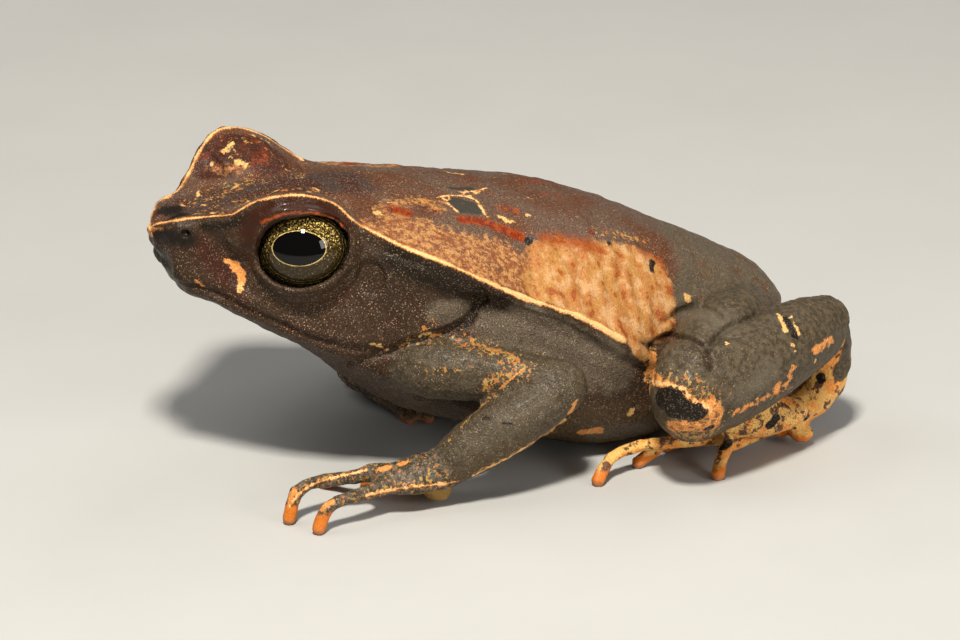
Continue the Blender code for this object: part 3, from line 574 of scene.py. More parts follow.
# Folds and swellings along a path: (height in mm, width in mm, path).
reliefs = [
    # the ridge that carries the cream line, and the hollow under it
    (0.20, 0.55, creamLine),
    (-0.16, 0.6, [362, 238, 400, 257, 430, 268, 460, 281, 490, 296, 523, 311, 560, 322, 595, 341]),
    # the fold between head and shoulder
    (-0.45, 0.7, [350, 366, 385, 353, 411, 343, 440, 335, 467, 322, 476, 309, 484, 300]),
    (0.18, 0.5, [404, 337, 421, 331, 450, 322]),
    (0.15, 0.9, [430, 318, 455, 306]),
    # upper lid: rounded rim and the furrow above it
    (0.22, 0.55, [262, 222, 272, 215, 285, 210.5, 302, 209.5, 322, 211, 337, 218, 345, 228]),
    (-0.14, 0.5, [262, 212, 275, 205, 290, 202.5, 310, 202.5, 328, 207, 340, 214]),
    # lower lid and the furrow under it
    (0.12, 0.4, [254, 255, 258, 270, 270, 284, 290, 291, 312, 291, 332, 284, 345, 270]),
    (-0.14, 0.55, [252, 272, 264, 290, 286, 299, 316, 299, 340, 289, 354, 270]),
    # tympanum
    (-0.14, 0.32, ring(371.5, 280, 12.5, 16)),
    (0.07, 0.9, [370, 276, 372, 284]),
    (0.05, 0.4, ring(371.5, 280, 17, 21)),
    # nostril
    (0.14, 0.6, ring(185, 233, 7, 6)),
    (-0.5, 0.42, [184, 233, 187, 234]),
    # swellings between the folds of the thigh
    (0.28, 1.2, [664, 354, 682, 349, 696, 354]),
    (0.26, 1.1, [670, 326, 690, 321, 706, 325]),
    (0.15, 0.9, [676, 303, 700, 297, 720, 302]),
]

mouthLine = {
    "y": (-31, -28, -25.5, -21.5, -16.5, -12.6, -11.2),
    "z": (18.8, 19.0, 18.8, 17.0, 14.4, 13.5, 13.2),
    "depth": 0.26,
    "width": 0.3,
    "endFade": 0.6,          # mm over which it begins at the corner
    "levelFade": 0.3,        # skin that faces up or down has no line
}

# Random relief: the flank's folds are (stretch, size in mm, seed, height), the bumps (size, seed, height).
texturePlan = {
    "folds": (((0.5, 1.9, 0.4), 1.5, 11, 0.11), ((0.6, 1.9, 0.5), 0.8, 12, 0.05)),
    "bumps": ((1.3, 21, 0.05), (0.7, 22, 0.035)),
    "fromEye": (4.8, 6.0),   # mm from the eye's centre
    "fromFloor": (0.5, 1.3),
}

eyeGap = {"gap": 0.42, "front": 0.45, "above": 20}
lastRelax = {"strength": 0.8, "rounds": 3}


def pullPlaces(points, normals, plan):
    for centre, radius, move in plan:
        reach = np.linalg.norm(points - centre, axis=1)
        points = points + ease(1 - reach / radius)[:, None] * np.array(move)
    return points


def pressPath(points, normals, height, width, pixels):
    # Raises or sinks the skin along a path by height, fading out over width.
    reach = nearPath(points, normals, tracePath(pixels))[0]
    return points + normals * (height * ease(1 - reach / width))[:, None]


def strokeMap(points, normals, strokes):
    value = np.zeros(len(points))
    for radius, feather, *paths in strokes:
        for pixels in paths:
            reach = nearPath(points, normals, tracePath(pixels))[0]
            value = np.maximum(value, np.clip(0.5 + (radius - reach) / feather, 0, 1))
    return value


def sculpt(step, *settings):
    # Runs one step on the folded half and puts both sides back.
    points = getPoints(skin)
    side = np.where(points[:, 0] < 0, -1.0, 1.0)
    moved = step(folded(points, side), folded(getNormals(skin), side), *settings)
    setPoints(skin, folded(moved, side))


def mouthStep(points, normals, plan):
    line = np.interp(points[:, 1], plan["y"], plan["z"])
    away = np.abs(points[:, 2] - line)
    onLips = ease((plan["y"][-1] - points[:, 1]) / plan["endFade"])
    onLips *= ease((1 - np.abs(normals[:, 2])) / plan["levelFade"])
    return points - normals * (plan["depth"] * onLips * ease(1 - away / plan["width"]))[:, None]


def textureStep(points, normals, plan):
    folds = sum(ripple(points * stretch, size, seed) * rise for stretch, size, seed, rise in plan["folds"])
    height = strokeMap(points, normals, regions["flank"]) * folds
    for size, seed, rise in plan["bumps"]:
        height = height + ripple(points, size, seed) * rise
    fromEye = np.linalg.norm(points - eyeCentre, axis=1)
    height = height * fade(fromEye, *plan["fromEye"]) * fade(points[:, 2], *plan["fromFloor"])
    return points + normals * height[:, None]


def clearEye(points, normals, plan):
    # The lid's back part stays outside the eyeball by at least the gap.
    away = points - eyeCentre
    reach = np.linalg.norm(away, axis=1)
    least = eyePlan["radius"] + plan["gap"]
    short = ((away @ eyeAxis) / reach < plan["front"]) & (reach < least) & (points[:, 2] > plan["above"])
    points[short] += away[short] * (least / reach[short] - 1)[:, None]
    return points


def dropLid(points, normals, plan):
    hinge = unit(np.cross((0, 0, 1), eyeAxis))
    away = points - eyeCentre
    near = np.linalg.norm(points - onSkin(*plan["pixel"]), axis=1)
    turn = (plan["turn"] * ease(1 - near / plan["radius"]))[:, None]
    along = (away @ hinge)[:, None] * hinge
    turned = away * np.cos(turn) + np.cross(hinge, away) * np.sin(turn) + along * (1 - np.cos(turn))
    return turned + eyeCentre


# Places made rounder: (centre, radius, rounds).
softPlaces = [((0.6, -28.1, 20.9), 2.6, 20), ((5.6, -13.7, 26.0), 3.4, 6)]

sculpt(pullPlaces, pulls)
for centre, radius, rounds in softPlaces:
    points = getPoints(skin)
    reach = np.linalg.norm(np.abs(points) * (1, 0, 0) + points * (0, 1, 1) - centre, axis=1)
    setPoints(skin, relax(points, edges, ease(1 - reach / radius), rounds))
sculpt(clearEye, eyeGap)
tree = skinTree(skin)
sculpt(dropLid, lidDrop)
tree = skinTree(skin)
for height, width, pixels in reliefs:
    sculpt(pressPath, height, width, pixels)
for depth, width, pixels in creases:
    sculpt(pressPath, -depth, width, pixels)
sculpt(mouthStep, mouthLine)
strength = np.full(len(points), lastRelax["strength"])
setPoints(skin, relax(getPoints(skin), edges, strength, lastRelax["rounds"]))
sculpt(textureStep, texturePlan)
print("skin sculpted")

triangles = sum(len(face.vertices) - 2 for face in skin.data.polygons)
applyModifier(skin, "TRIANGULATE")
applyModifier(skin, "DECIMATE", ratio=skinPlan["triangles"] / triangles)
print("skin thinned:", triangles, "to", len(skin.data.polygons), "triangles")


# Maps of the skin's markings, kept on its points. Each pair is where a fade starts and where it is full.
mapPlan = {
    "farLineFade": (9, 3),             # mm along the back, where the far line is moved
    "farLineMove": (1.1, 0, -2.6),
    "farLineGap": 1.5,                 # mm between the far line's start and the course it then takes
    "farLineScale": 0.65,              # the far line looks thinner, so it is drawn wider
    "aboveApart": (0.5, 1.0),          # mm from the line, where a fixed slope begins to part back and side
    "aboveSlope": (-0.6, 0, 0.8),
    "backEdge": (-0.25, 0.25),
    "farBack": (-1, 17),               # the far side above this height has no grey patch and no trims
    "noTrim": 9.0,
    "palmHeight": (2.3, 1.7),
    "lineWidth": (0.07, 0.10),         # mm, at the head and what it gains towards the rear
    "lineWidens": (-12, 2),
    "rumpAlong": (15, 23),
    "rumpHeight": (8, 12),
    "eyeRimAndShade": (0.8, 0.3),              # mm from the eyeball
    "eyeFront": (0.25, 0.45),
    "limbReach": (0.9, 0.1),           # mm from the solids of the limbs
    "digitReach": (1.6, 0.8),
    "shankHeight": (5.2, 4.4),
    "shankAlong": (15, 17),
    "footReach": (0.8, 0.1),
    "footGain": 1.8,                   # mm that the foot's colour reaches further under the shank
    "tipReach": (0.6, 0.3),
    "tipHeights": {"toes": 1.9, "fingers": 2.5, "farFingers": 0.9},
    "tipFade": (0, -1.3),
    "tipEnd": (0.8, 0.2),
    "bellyHeight": (8, 5),
    "bellyOut": (9, 11),
    "foldShadeShares": (0.2, 0.5),          # the painted shade of a fold: its radius and feather, for each mm of its depth
}
points = getPoints(skin)
side = np.where(points[:, 0] < 0, -1.0, 1.0)
foldedPoints = folded(points, side)
foldedNormals = folded(getNormals(skin), side)
tree = skinTree(skin)


def keepMap(name, values):
    layer = skin.data.attributes.new(name, "FLOAT", "POINT")
    layer.data.foreach_set("value", np.asarray(values, np.float32))


def planned(value, name):
    return fade(value, *mapPlan[name])


# On the far side the line starts on the outline that the photo shows, and then takes the near side's course.
nearLine = tracePath(creamLine)
farLine = tracePath(farLineStart)
lowered = nearLine[nearLine[:, 1] > farLine[-1, 1] + mapPlan["farLineGap"]]
lowered = lowered + planned(lowered[:, 1], "farLineFade")[:, None] * np.array(mapPlan["farLineMove"])
farLine = np.concatenate((farLine, [tree.find_nearest(Vector(place))[0] for place in lowered]))
lineReach, lineOffset, lineWay = nearPath(foldedPoints, foldedNormals, nearLine)
far = side < 0
lineReach[far], lineOffset[far], lineWay[far] = nearPath(foldedPoints[far], foldedNormals[far], farLine)
keepMap("lineReach", lineReach)
keepMap("lineOffset", lineOffset * np.where(far, mapPlan["farLineScale"], 1))
apart = planned(lineReach, "aboveApart")
aboveLine = (1 - apart) * lineOffset + apart * (lineWay @ np.array(mapPlan["aboveSlope"]))
keepMap("back", planned(aboveLine, "backEdge"))

trimReach = np.full(len(points), mapPlan["noTrim"])
trimOffset = trimReach.copy()
trimWidth = np.full(len(points), 0.1)
for halfWidth, pixels in trims:
    reach, offset = nearPath(foldedPoints, foldedNormals, tracePath(pixels))[:2]
    closer = reach < trimReach
    trimReach[closer] = reach[closer]
    trimOffset[closer] = offset[closer]
    trimWidth[closer] = halfWidth
across, along, height = points.T
farBack = (across < mapPlan["farBack"][0]) & (height > mapPlan["farBack"][1])
trimReach[farBack] = mapPlan["noTrim"]
keepMap("trimReach", trimReach)
keepMap("trimOffset", trimOffset)
keepMap("trimWidth", trimWidth)
thin, gain = mapPlan["lineWidth"]
keepMap("lineWidth", thin + gain * planned(along, "lineWidens"))

for name, strokes in regions.items():
    value = strokeMap(foldedPoints, foldedNormals, strokes)
    if name == "greyPatch":
        value[farBack] = 0
    if name == "rump":
        value = np.maximum(value, planned(along, "rumpAlong") * planned(height, "rumpHeight"))
    if name == "palmSole":
        value *= planned(height, "palmHeight")
    keepMap(name, value)
foldShadeRadius, foldShadeFeather = mapPlan["foldShadeShares"]
foldShades = [(foldShadeRadius * depth, foldShadeFeather * depth, pixels) for depth, width, pixels in creases]
keepMap("creaseShade", strokeMap(foldedPoints, foldedNormals, foldShades))
eyeWay = foldedPoints - eyeCentre
eyeReach = np.linalg.norm(eyeWay, axis=1)
eyeFront = (eyeWay @ np.array(eyePlan["axis"])) / eyeReach
# skin next to the eyeball: partly the lid margin's dark skin, partly painted shade where the lids meet the
# eyeball
keepMap("eyeRimAndShade", planned(eyeReach - eyePlan["radius"], "eyeRimAndShade") * planned(eyeFront, "eyeFront"))

armReach = nodeReach(points, nodesLike("upper_arm", "forearm", "hand"))
legReach = nodeReach(points, nodesLike("thigh", "shank", "tarsus", "foot"))
handReach = nodeReach(points, nodesLike("hand"))
footReach = nodeReach(points, nodesLike("tarsus", "foot"))
digitReach = np.minimum(handReach, footReach)
keepMap("limb", planned(np.minimum(armReach, legReach), "limbReach"))
keepMap("leg", planned(legReach, "limbReach"))
keepMap("arm", planned(armReach, "limbReach"))
keepMap("hand", planned(handReach, "digitReach"))
underShank = planned(height, "shankHeight") * planned(along, "shankAlong")
keepMap("foot", planned(footReach - mapPlan["footGain"] * underShank, "footReach"))
tips = mapPlan["tipHeights"]
tipHeight = np.where(along < 0, np.where(far, tips["farFingers"], tips["fingers"]), tips["toes"])
onDigits = planned(digitReach, "tipReach")
keepMap("tip", onDigits * planned(height - tipHeight, "tipFade"))
keepMap("tipEnd", onDigits * planned(height, "tipEnd"))
# low skin that faces the floor: partly the toad's dark underside, partly painted shade on the faces turned
# down
under = planned(height, "bellyHeight") * ease(0.3 - getNormals(skin)[:, 2] * 1.4)
onFeet = np.maximum(planned(digitReach, "digitReach"), underShank * planned(np.abs(across), "bellyOut"))
keepMap("bellyAndShade", under * (1 - onFeet))
print("markings mapped")

setPoints(skin, toMetres(getPoints(skin)))
skin.data.polygons.foreach_set("use_smooth", np.ones(len(skin.data.polygons), bool))
skin.data.update()


# The eyes
def addEye(name, mirror):
    centre = eyeCentre * (mirror, 1, 1)
    axis = eyeAxis * (mirror, 1, 1)
    across = unit(np.cross((0, 0, 1), axis))
    upward = np.cross(axis, across)
    bpy.ops.object.select_all(action="DESELECT")
    bpy.ops.mesh.primitive_uv_sphere_add(segments=eyePlan["segments"], ring_count=eyePlan["rings"], radius=1)
    eye = bpy.context.object
    eye.name = name
    eye.data.name = name
    ball = getPoints(eye)
    ball /= np.linalg.norm(ball, axis=1, keepdims=True)
    polar = np.arccos(np.clip(ball[:, 2], -1, 1))
    around = np.arctan2(ball[:, 1], ball[:, 0])
    radius = eyePlan["radius"] + eyePlan["corneaRise"] * ease(1 - polar / (eyePlan["corneaSpread"] * 2))
    place = centre + radius[:, None] * (ball[:, :1] * across + ball[:, 1:2] * upward + ball[:, 2:] * axis)
    setPoints(eye, toMetres(place))
    plane = np.stack((polar * np.cos(around), polar * np.sin(around), polar * 0), 1) * eyePlan["radius"]
    layer = eye.data.attributes.new("irisPlane", "FLOAT_VECTOR", "POINT")
    layer.data.foreach_set("vector", plane.astype(np.float32).ravel())
    eye.data.polygons.foreach_set("use_smooth", np.ones(len(eye.data.polygons), bool))
    return eye


eyes = [addEye("eyeballLeft", 1), addEye("eyeballRight", -1)]
print("eyes made")


# Helpers for materials
def isSocket(value):
    return isinstance(value, bpy.types.NodeSocket)


def setInput(socket, value):
    if isSocket(value):
        socket.id_data.links.new(value, socket)
    else:
        socket.default_value = value


def addNode(tree, kind, inputs=None, **settings):
    node = tree.nodes.new(kind)
    for key, value in settings.items():
        setattr(node, key, value)
    for key, value in (inputs or {}).items():
        setInput(node.inputs[key], value)
    return node


def treeOf(*values):
    # The node tree of the first of these values that is a socket.
    return next(value.id_data for value in values if isSocket(value))


def calc(operation, first, second=0.0, clamp=False):
    settings = {"operation": operation, "use_clamp": clamp}
    return addNode(treeOf(first, second), "ShaderNodeMath", {0: first, 1: second}, **settings).outputs[0]


def plus(first, *others):
    for other in others:
        first = calc("ADD", first, other)
    return first


def minus(first, second):
    return calc("SUBTRACT", first, second)


def times(first, *others):
    for other in others:
        first = calc("MULTIPLY", first, other)
    return first


def spread(value, low, high, newLow=0.0, newHigh=1.0):
    inputs = {"Value": value, "From Min": low, "From Max": high, "To Min": newLow, "To Max": newHigh}
    return addNode(treeOf(value), "ShaderNodeMapRange", inputs, interpolation_type="SMOOTHSTEP").outputs[0]


def paint(mask, under, over):
    inputs = {0: mask}
    for index, colour in ((6, under), (7, over)):
        inputs[index] = (*colour, 1) if isinstance(colour, tuple) else colour
    return addNode(treeOf(mask, under, over), "ShaderNodeMix", inputs, data_type="RGBA").outputs[2]


def readMap(tree, name):
    return addNode(tree, "ShaderNodeAttribute", attribute_name=name).outputs["Fac"]


def noiseAt(coords, scale, detail=2.0, roughness=0.5):
    inputs = {"Vector": coords, "Scale": scale, "Detail": detail, "Roughness": roughness}
    return addNode(treeOf(coords), "ShaderNodeTexNoise", inputs).outputs["Fac"]


def cellsAt(coords, scale, feature="F1"):
    inputs = {"Vector": coords, "Scale": scale}
    return addNode(treeOf(coords), "ShaderNodeTexVoronoi", inputs, feature=feature).outputs


def newGroup(name, inputs, outputs):
    # A node group that takes a vector and some numbers, and puts out masks.
    group = bpy.data.node_groups.new(name, "ShaderNodeTree")
    group.interface.new_socket("Vector", in_out="INPUT", socket_type="NodeSocketVector")
    for label, value in inputs.items():
        socket = group.interface.new_socket(label, in_out="INPUT", socket_type="NodeSocketFloat")
        socket.default_value = value
    for label in outputs:
        group.interface.new_socket(label, in_out="OUTPUT", socket_type="NodeSocketFloat")
    start = group.nodes.new("NodeGroupInput").outputs
    return group, start, group.nodes.new("NodeGroupOutput").inputs


def useGroup(tree, group, **inputs):
    return addNode(tree, "ShaderNodeGroup", inputs, node_tree=group).outputs


def newMaterial(name):
    material = bpy.data.materials.new(name)
    material.use_nodes = True
    tree = material.node_tree
    return material, tree, tree.nodes["Principled BSDF"]


speckPlan = {"stir": 1.1, "dot": (0.52, 0.15)}


def makeSpeckGroup(plan):
    # Small dots in the cells of a net. Amount is the share of cells that show; Tone differs from dot to dot.
    group, start, end = newGroup("skinSpecks", {"Scale": 6000.0, "Amount": 0.2}, ("Mask", "Tone"))
    vector, scale = start["Vector"], start["Scale"]
    stir = addNode(group, "ShaderNodeTexNoise", {"Vector": vector, "Scale": scale, "Detail": 1.0})
    inputs = {0: stir.outputs["Color"], "Scale": calc("DIVIDE", plan["stir"], scale)}
    warp = addNode(group, "ShaderNodeVectorMath", inputs, operation="SCALE")
    place = addNode(group, "ShaderNodeVectorMath", {0: vector, 1: warp.outputs[0]}, operation="ADD")
    cells = cellsAt(place.outputs[0], scale)
    lots = addNode(group, "ShaderNodeSeparateColor", {0: cells["Color"]})
    chosen = calc("LESS_THAN", lots.outputs[0], start["Amount"])
    dot = spread(cells["Distance"], *plan["dot"])
    setInput(end["Mask"], times(chosen, dot))
    setInput(end["Tone"], lots.outputs[1])
    return group


fleckPlan = {
    "noise": (4.0, 0.66),    # detail and roughness
    "level": 0.70,           # where a fleck begins with no Amount
    "gain": 0.34,            # and how far a full Amount lowers that
    "edge": (0.0, 0.04),
    "none": (0.0, 0.05),
    "tone": (1700.0, 1.0),
    "toneRange": (0.38, 0.62),
}


def makeFleckGroup(plan):
    # Ragged flecks that run together where Amount is high. Tone differs from place to place.
    group, start, end = newGroup("skinFlecks", {"Scale": 2600.0, "Amount": 0.2}, ("Mask", "Tone"))
    vector, amount = start["Vector"], start["Amount"]
    value = noiseAt(vector, start["Scale"], *plan["noise"])
    low = minus(plan["level"], times(amount, plan["gain"]))
    edge = spread(minus(value, low), *plan["edge"])
    setInput(end["Mask"], times(edge, spread(amount, *plan["none"])))
    tone = noiseAt(vector, *plan["tone"])
    setInput(end["Tone"], spread(tone, *plan["toneRange"]))
    return group


grainPlan = {"bead": (0.7, 0.05), "beadHeight": 0.4, "broad": (1300.0, 2.0)}


def makeGrainGroup(plan):
    # The skin's granules: beads of one size over softer swellings.
    group, start, end = newGroup("skinGrain", {"Scale": 5200.0, "Swelling": 0.5}, ("Height", "Valley"))
    bead = spread(cellsAt(start["Vector"], start["Scale"])["Distance"], *plan["bead"])
    broad = noiseAt(start["Vector"], *plan["broad"])
    height = plus(times(bead, plan["beadHeight"]), times(broad, start["Swelling"]))
    setInput(end["Height"], height)
    setInput(end["Valley"], minus(1.0, bead))
    return group


speckGroup = makeSpeckGroup(speckPlan)
fleckGroup = makeFleckGroup(fleckPlan)
grainGroup = makeGrainGroup(grainPlan)

skinColours = {
    "side": (0.044, 0.023, 0.0115),
    "sideRed": (0.054, 0.018, 0.009),
    "noseRed": (0.045, 0.010, 0.005),
    "dark": (0.009, 0.005, 0.002),
    "greySideAndSheen": (0.115, 0.087, 0.060),
    "back": (0.115, 0.040, 0.017),
    "backMauve": (0.118, 0.068, 0.045),
    "backRed": (0.15, 0.024, 0.006),
    "crown": (0.058, 0.034, 0.028),
    "crownRed": (0.056, 0.017, 0.010),
    "parotoid": (0.50, 0.24, 0.078),
    "parotoidDark": (0.25, 0.078, 0.028),
    "flank": (0.44, 0.18, 0.048),
    "flankGold": (0.46, 0.22, 0.055),
    "flankPale": (0.56, 0.31, 0.135),
    "flankRed": (0.32, 0.078, 0.014),
    "redFlank": (0.30, 0.06, 0.008),
    "palm": (0.25, 0.145, 0.033),
    "rump": (0.102, 0.079, 0.051),
    "rumpBrown": (0.104, 0.055, 0.028),
    "limb": (0.094, 0.071, 0.043),
    "limbDark": (0.052, 0.039, 0.023),
    "limbPale": (0.112, 0.090, 0.060),
    "hand": (0.115, 0.094, 0.070),
    "foot": (0.82, 0.46, 0.13),
    "footOrange": (0.80, 0.30, 0.06),
    "footDark": (0.12, 0.055, 0.030),
    "tip": (0.60, 0.17, 0.022),
    "tipEnd": (0.42, 0.17, 0.07),
    "bellyAndShade": (0.085, 0.055, 0.028),
    "gold": (0.68, 0.45, 0.17),
    "mottleGold": (0.42, 0.27, 0.075),
    "orange": (0.66, 0.24, 0.055),
    "cream": (0.78, 0.48, 0.20),
    "red": (0.20, 0.016, 0.001),
    "lidRed": (0.50, 0.085, 0.008),
    "browRed": (0.036, 0.010, 0.004),
    "grey": (0.042, 0.038, 0.030),
    "black": (0.010, 0.007, 0.005),
    "speck": (0.50, 0.38, 0.25),
    "fleckOrange": (0.48, 0.165, 0.035),
    "farLid": (0.048, 0.012, 0.006),
    "farLidRed": (0.14, 0.020, 0.003),
}

# Noises that the skin's patterns read: (scale per metre, detail, roughness).
skinNoise = {
    "large": (170.0, 3.0, 0.5),
    "medium": (520.0, 4.0, 0.6),
    "small": (1900.0, 3.0, 0.6),
    "fine": (6500.0, 2.0, 0.6),
    "blobs": (820.0, 3.0, 0.55),
    "blotch": (1150.0, 4.0, 0.62),
}
streakNoise = {"streak": (620.0, 4.0, 0.62), "streakLarge": (260.0, 3.0, 0.6)}
streakStretch = (0.7, 2.4, 0.55)

# Two colours that a noise mixes: (noise, where the second sets in, where it is full, first, second).
skinTones = {
    "side": ("medium", 0.48, 0.72, "side", "sideRed"),
    "back": ("large", 0.42, 0.60, "backMauve", "back"),
    "crown": ("medium", 0.46, 0.60, "crown", "crownRed"),
    "farLid": ("medium", 0.52, 0.68, "farLid", "farLidRed"),
    "parotoid": ("small", 0.42, 0.62, "parotoidDark", "parotoid"),
    "flank": ("streakLarge", 0.46, 0.60, "flank", "flankGold"),
    "rump": ("medium", 0.52, 0.66, "rump", "rumpBrown"),
    "limb": ("small", 0.40, 0.60, "limbDark", "limb"),
    "hand": ("small", 0.44, 0.56, "limbDark", "hand"),
    "foot": ("medium", 0.45, 0.58, "foot", "footOrange"),
    "redBand": ("small", 0.42, 0.64, "red", "redFlank"),
    "orange": ("fine", 0.50, 0.72, "orange", "cream"),
    "gold": ("fine", 0.50, 0.36, "gold", "orange"),
}

# How much each map lessens the fine grain, and how much it adds to the gold and orange mottling.
calmShares = {
    "leg": 0.25, "limb": 0.3, "flank": 0.6, "noseRed": 0.35, "rump": 0.3, "darkBandAndShade": 0.5, "farLid": 0.7,
}
mottleShares = {"mottle": 0.62, "hand": 0.40, "parotoid": 0.16, "back": 0.08, "limb": 0.05}

linePlan = {
    "fineWobble": 0.34,
    "raggedWobble": 0.10,
    "reach": (0.55, 0.42),   # mm from the line's path, where it ends
    "rim": (0.12, 0.02),     # mm outside the half width
    "core": (0.03, -0.05),
    "rimShare": 0.65,
}
skinFinish = {
    "specks": (7600.0, 0.5),     # scale and amount
    "flecks": 2600.0,
    "fleckShare": 0.85,
    "grain": (5200.0, 0.5),      # scale and swelling
    "valleyShade": 0.2,
    "bump": (0.8, 0.00009),      # strength, and depth in metres
    "roughness": (0.36, 0.50),
    "gloss": (0.7, 0.02),
    "coatRoughness": 0.15,
    "specular": 0.13,
}


def makeSkinMaterial(colours, finish):
    material, tree, shader = newMaterial("toadSkin")
    coords = addNode(tree, "ShaderNodeTexCoord").outputs["Object"]
    stretched = addNode(tree, "ShaderNodeMapping", {"Vector": coords, "Scale": streakStretch}).outputs[0]
    noises = {name: noiseAt(coords, *plan) for name, plan in skinNoise.items()}
    noises.update({name: noiseAt(stretched, *plan) for name, plan in streakNoise.items()})
    ragged = times(minus(noises["small"], 0.5), 0.9)

    def mix(mask, under, over):
        return paint(mask, colours.get(under, under), colours.get(over, over))

    def noisy(noise, *limits):
        return spread(noises[noise], *limits)

    def tone(name):
        noise, low, high, first, second = skinTones[name]
        return mix(noisy(noise, low, high), first, second)

    def masked(name, share):
        return times(readMap(tree, name), share)

    def shares(amounts):
        return plus(*[masked(name, share) for name, share in amounts.items()])

    def roughened(name, rough, low, high):
        return spread(plus(readMap(tree, name), times(ragged, rough)), low, high)

    # rough is how much noise frays a region's edge, low and high are where its colour sets in and is full
    def edged(name, under, over, rough=1.0, low=0.35, high=0.65):
        return mix(roughened(name, rough, low, high), under, over)

    def line(name, width, under):
        wobble = times(minus(noises["fine"], 0.5), linePlan["fineWobble"])
        wobble = plus(wobble, times(ragged, linePlan["raggedWobble"]))
        away = calc("ABSOLUTE", plus(readMap(tree, name + "Offset"), wobble))
        near = spread(readMap(tree, name + "Reach"), *linePlan["reach"])
        outside = minus(away, width)
        rim = times(spread(outside, *linePlan["rim"]), near, linePlan["rimShare"])
        core = times(spread(outside, *linePlan["core"]), near)
        return mix(core, mix(rim, under, "orange"), "cream")

    # the side of the body
    # grey skin with a painted sheen on the side behind the shoulder
    side = edged("greySideAndSheen", tone("side"), "greySideAndSheen", 1.0, 0.2, 0.9)
    # dark skin plus painted shade under the ridge of the cream line
    side = edged("darkBandAndShade", side, "dark", 0.6, 0.2, 0.8)
    side = edged("noseRed", side, "noseRed", 1.4, 0.1, 1.0)
    side = mix(masked("cheekDark", 0.45), side, "dark")

    # the back, above the cream line
    back = mix(noisy("medium", 0.60, 0.70), tone("back"), "backRed")
    back = edged("crown", back, tone("crown"), 1.0, 0.2, 0.9)
    back = edged("farLid", back, tone("farLid"), 1.0, 0.1, 0.6)
    back = edged("parotoid", back, tone("parotoid"), 1.6, 0.25, 0.75)
    aboveLine = readMap(tree, "back")
    base = mix(aboveLine, side, back)
    base = edged("rump", base, tone("rump"), 0.6, 0.3, 0.7)

    # the orange flank with its folds
    blobs = plus(times(noises["blobs"], 0.7), times(noises["streak"], 0.3))
    flank = mix(spread(blobs, 0.49, 0.60), tone("flank"), "flankPale")
    flank = mix(spread(blobs, 0.46, 0.38), flank, "flankRed")
    coarse = times(minus(noises["medium"], 0.5), 1.1)
    flankMask = plus(readMap(tree, "flank"), coarse, times(ragged, 0.8))
    base = mix(times(spread(flankMask, 0.3, 0.7), aboveLine), base, flank)
    base = edged("flankTip", base, flank)

    # limbs, hands, feet and belly
    limb = edged("limbPale", tone("limb"), "limbPale", 0.8, 0.1, 1.0)
    limb = mix(masked("arm", 0.35), limb, "limbDark")
    base = mix(readMap(tree, "limb"), base, limb)
    base = mix(readMap(tree, "hand"), base, tone("hand"))
    foot = mix(noisy("blotch", 0.48, 0.40), tone("foot"), "footDark")
    footMask = calc("MAXIMUM", readMap(tree, "foot"), readMap(tree, "ankle"))
    footMask = times(footMask, roughened("heelGrey", 0.8, 0.65, 0.35))
    base = mix(footMask, base, foot)
    # the dark underside's colour, partly painted shade on faces turned down
    base = mix(readMap(tree, "bellyAndShade"), base, "bellyAndShade")
    # dark lid margin plus painted shade next to the eyeball
    base = mix(spread(readMap(tree, "eyeRimAndShade"), 0.1, 0.9), base, "dark")

    # fine grain: each granule has a tone of its own
    scale, amount = finish["specks"]
    grains = useGroup(tree, speckGroup, Vector=coords, Scale=scale, Amount=amount)
    calm = calc("SUBTRACT", 1.0, shares(calmShares), True)
    speckMask = times(grains["Mask"], noisy("medium", 0.32, 0.62, 0.4, 1.0), calm, grains["Tone"])
    base = mix(speckMask, base, "speck")
    base = edged("redBand", base, tone("redBand"), 1.6, 0.30, 0.85)
    base = edged("redFlank", base, "redFlank", 1.2, 0.3, 1.0)
    base = mix(times(noisy("fine", 0.52, 0.34), calm, 0.6), base, "black")

    # gold and orange mottling, denser where the maps are stronger
    flecks = useGroup(tree, fleckGroup, Vector=coords, Scale=finish["flecks"], Amount=shares(mottleShares))
    fleckColour = mix(flecks["Tone"], "mottleGold", "fleckOrange")
    base = mix(times(flecks["Mask"], finish["fleckShare"]), base, fleckColour)

    # single marks
    base = edged("browRed", base, "browRed", 1.0, 0.1, 0.8)
    base = edged("lidRed", base, "lidRed", 1.4, 0.3, 1.1)
    spotted = times(noisy("small", 0.48, 0.40), masked("leg", 0.8))
    base = edged("orange", base, mix(spotted, tone("orange"), "footDark"), 1.6)
    base = edged("gold", base, tone("gold"), 1.8)
    base = edged("greyPatch", base, "grey", 0.4)
    base = edged("noseDark", base, "black", 0.9, 0.2, 0.8)
    inky = mix(times(grains["Mask"], 0.25), "black", "speck")
    base = edged("black", base, inky, 0.8)
    # painted shade in the deep folds
    base = mix(masked("creaseShade", 0.75), base, "dark")
    base = edged("tip", base, "tip", 1.6, 0.2, 0.8)
    base = mix(readMap(tree, "tipEnd"), base, "tipEnd")
    base = edged("palmSole", base, "palm")

    # the thin cream lines, with orange along their edges
    lineWidth = times(readMap(tree, "lineWidth"), noisy("medium", 0.34, 0.68, 0.4, 1.9))
    trimWidth = times(readMap(tree, "trimWidth"), noisy("small", 0.40, 0.60, 0.0, 1.5))
    base = line("trim", trimWidth, line("line", lineWidth, base))

    scale, swelling = finish["grain"]
    grain = useGroup(tree, grainGroup, Vector=coords, Scale=scale, Swelling=swelling)
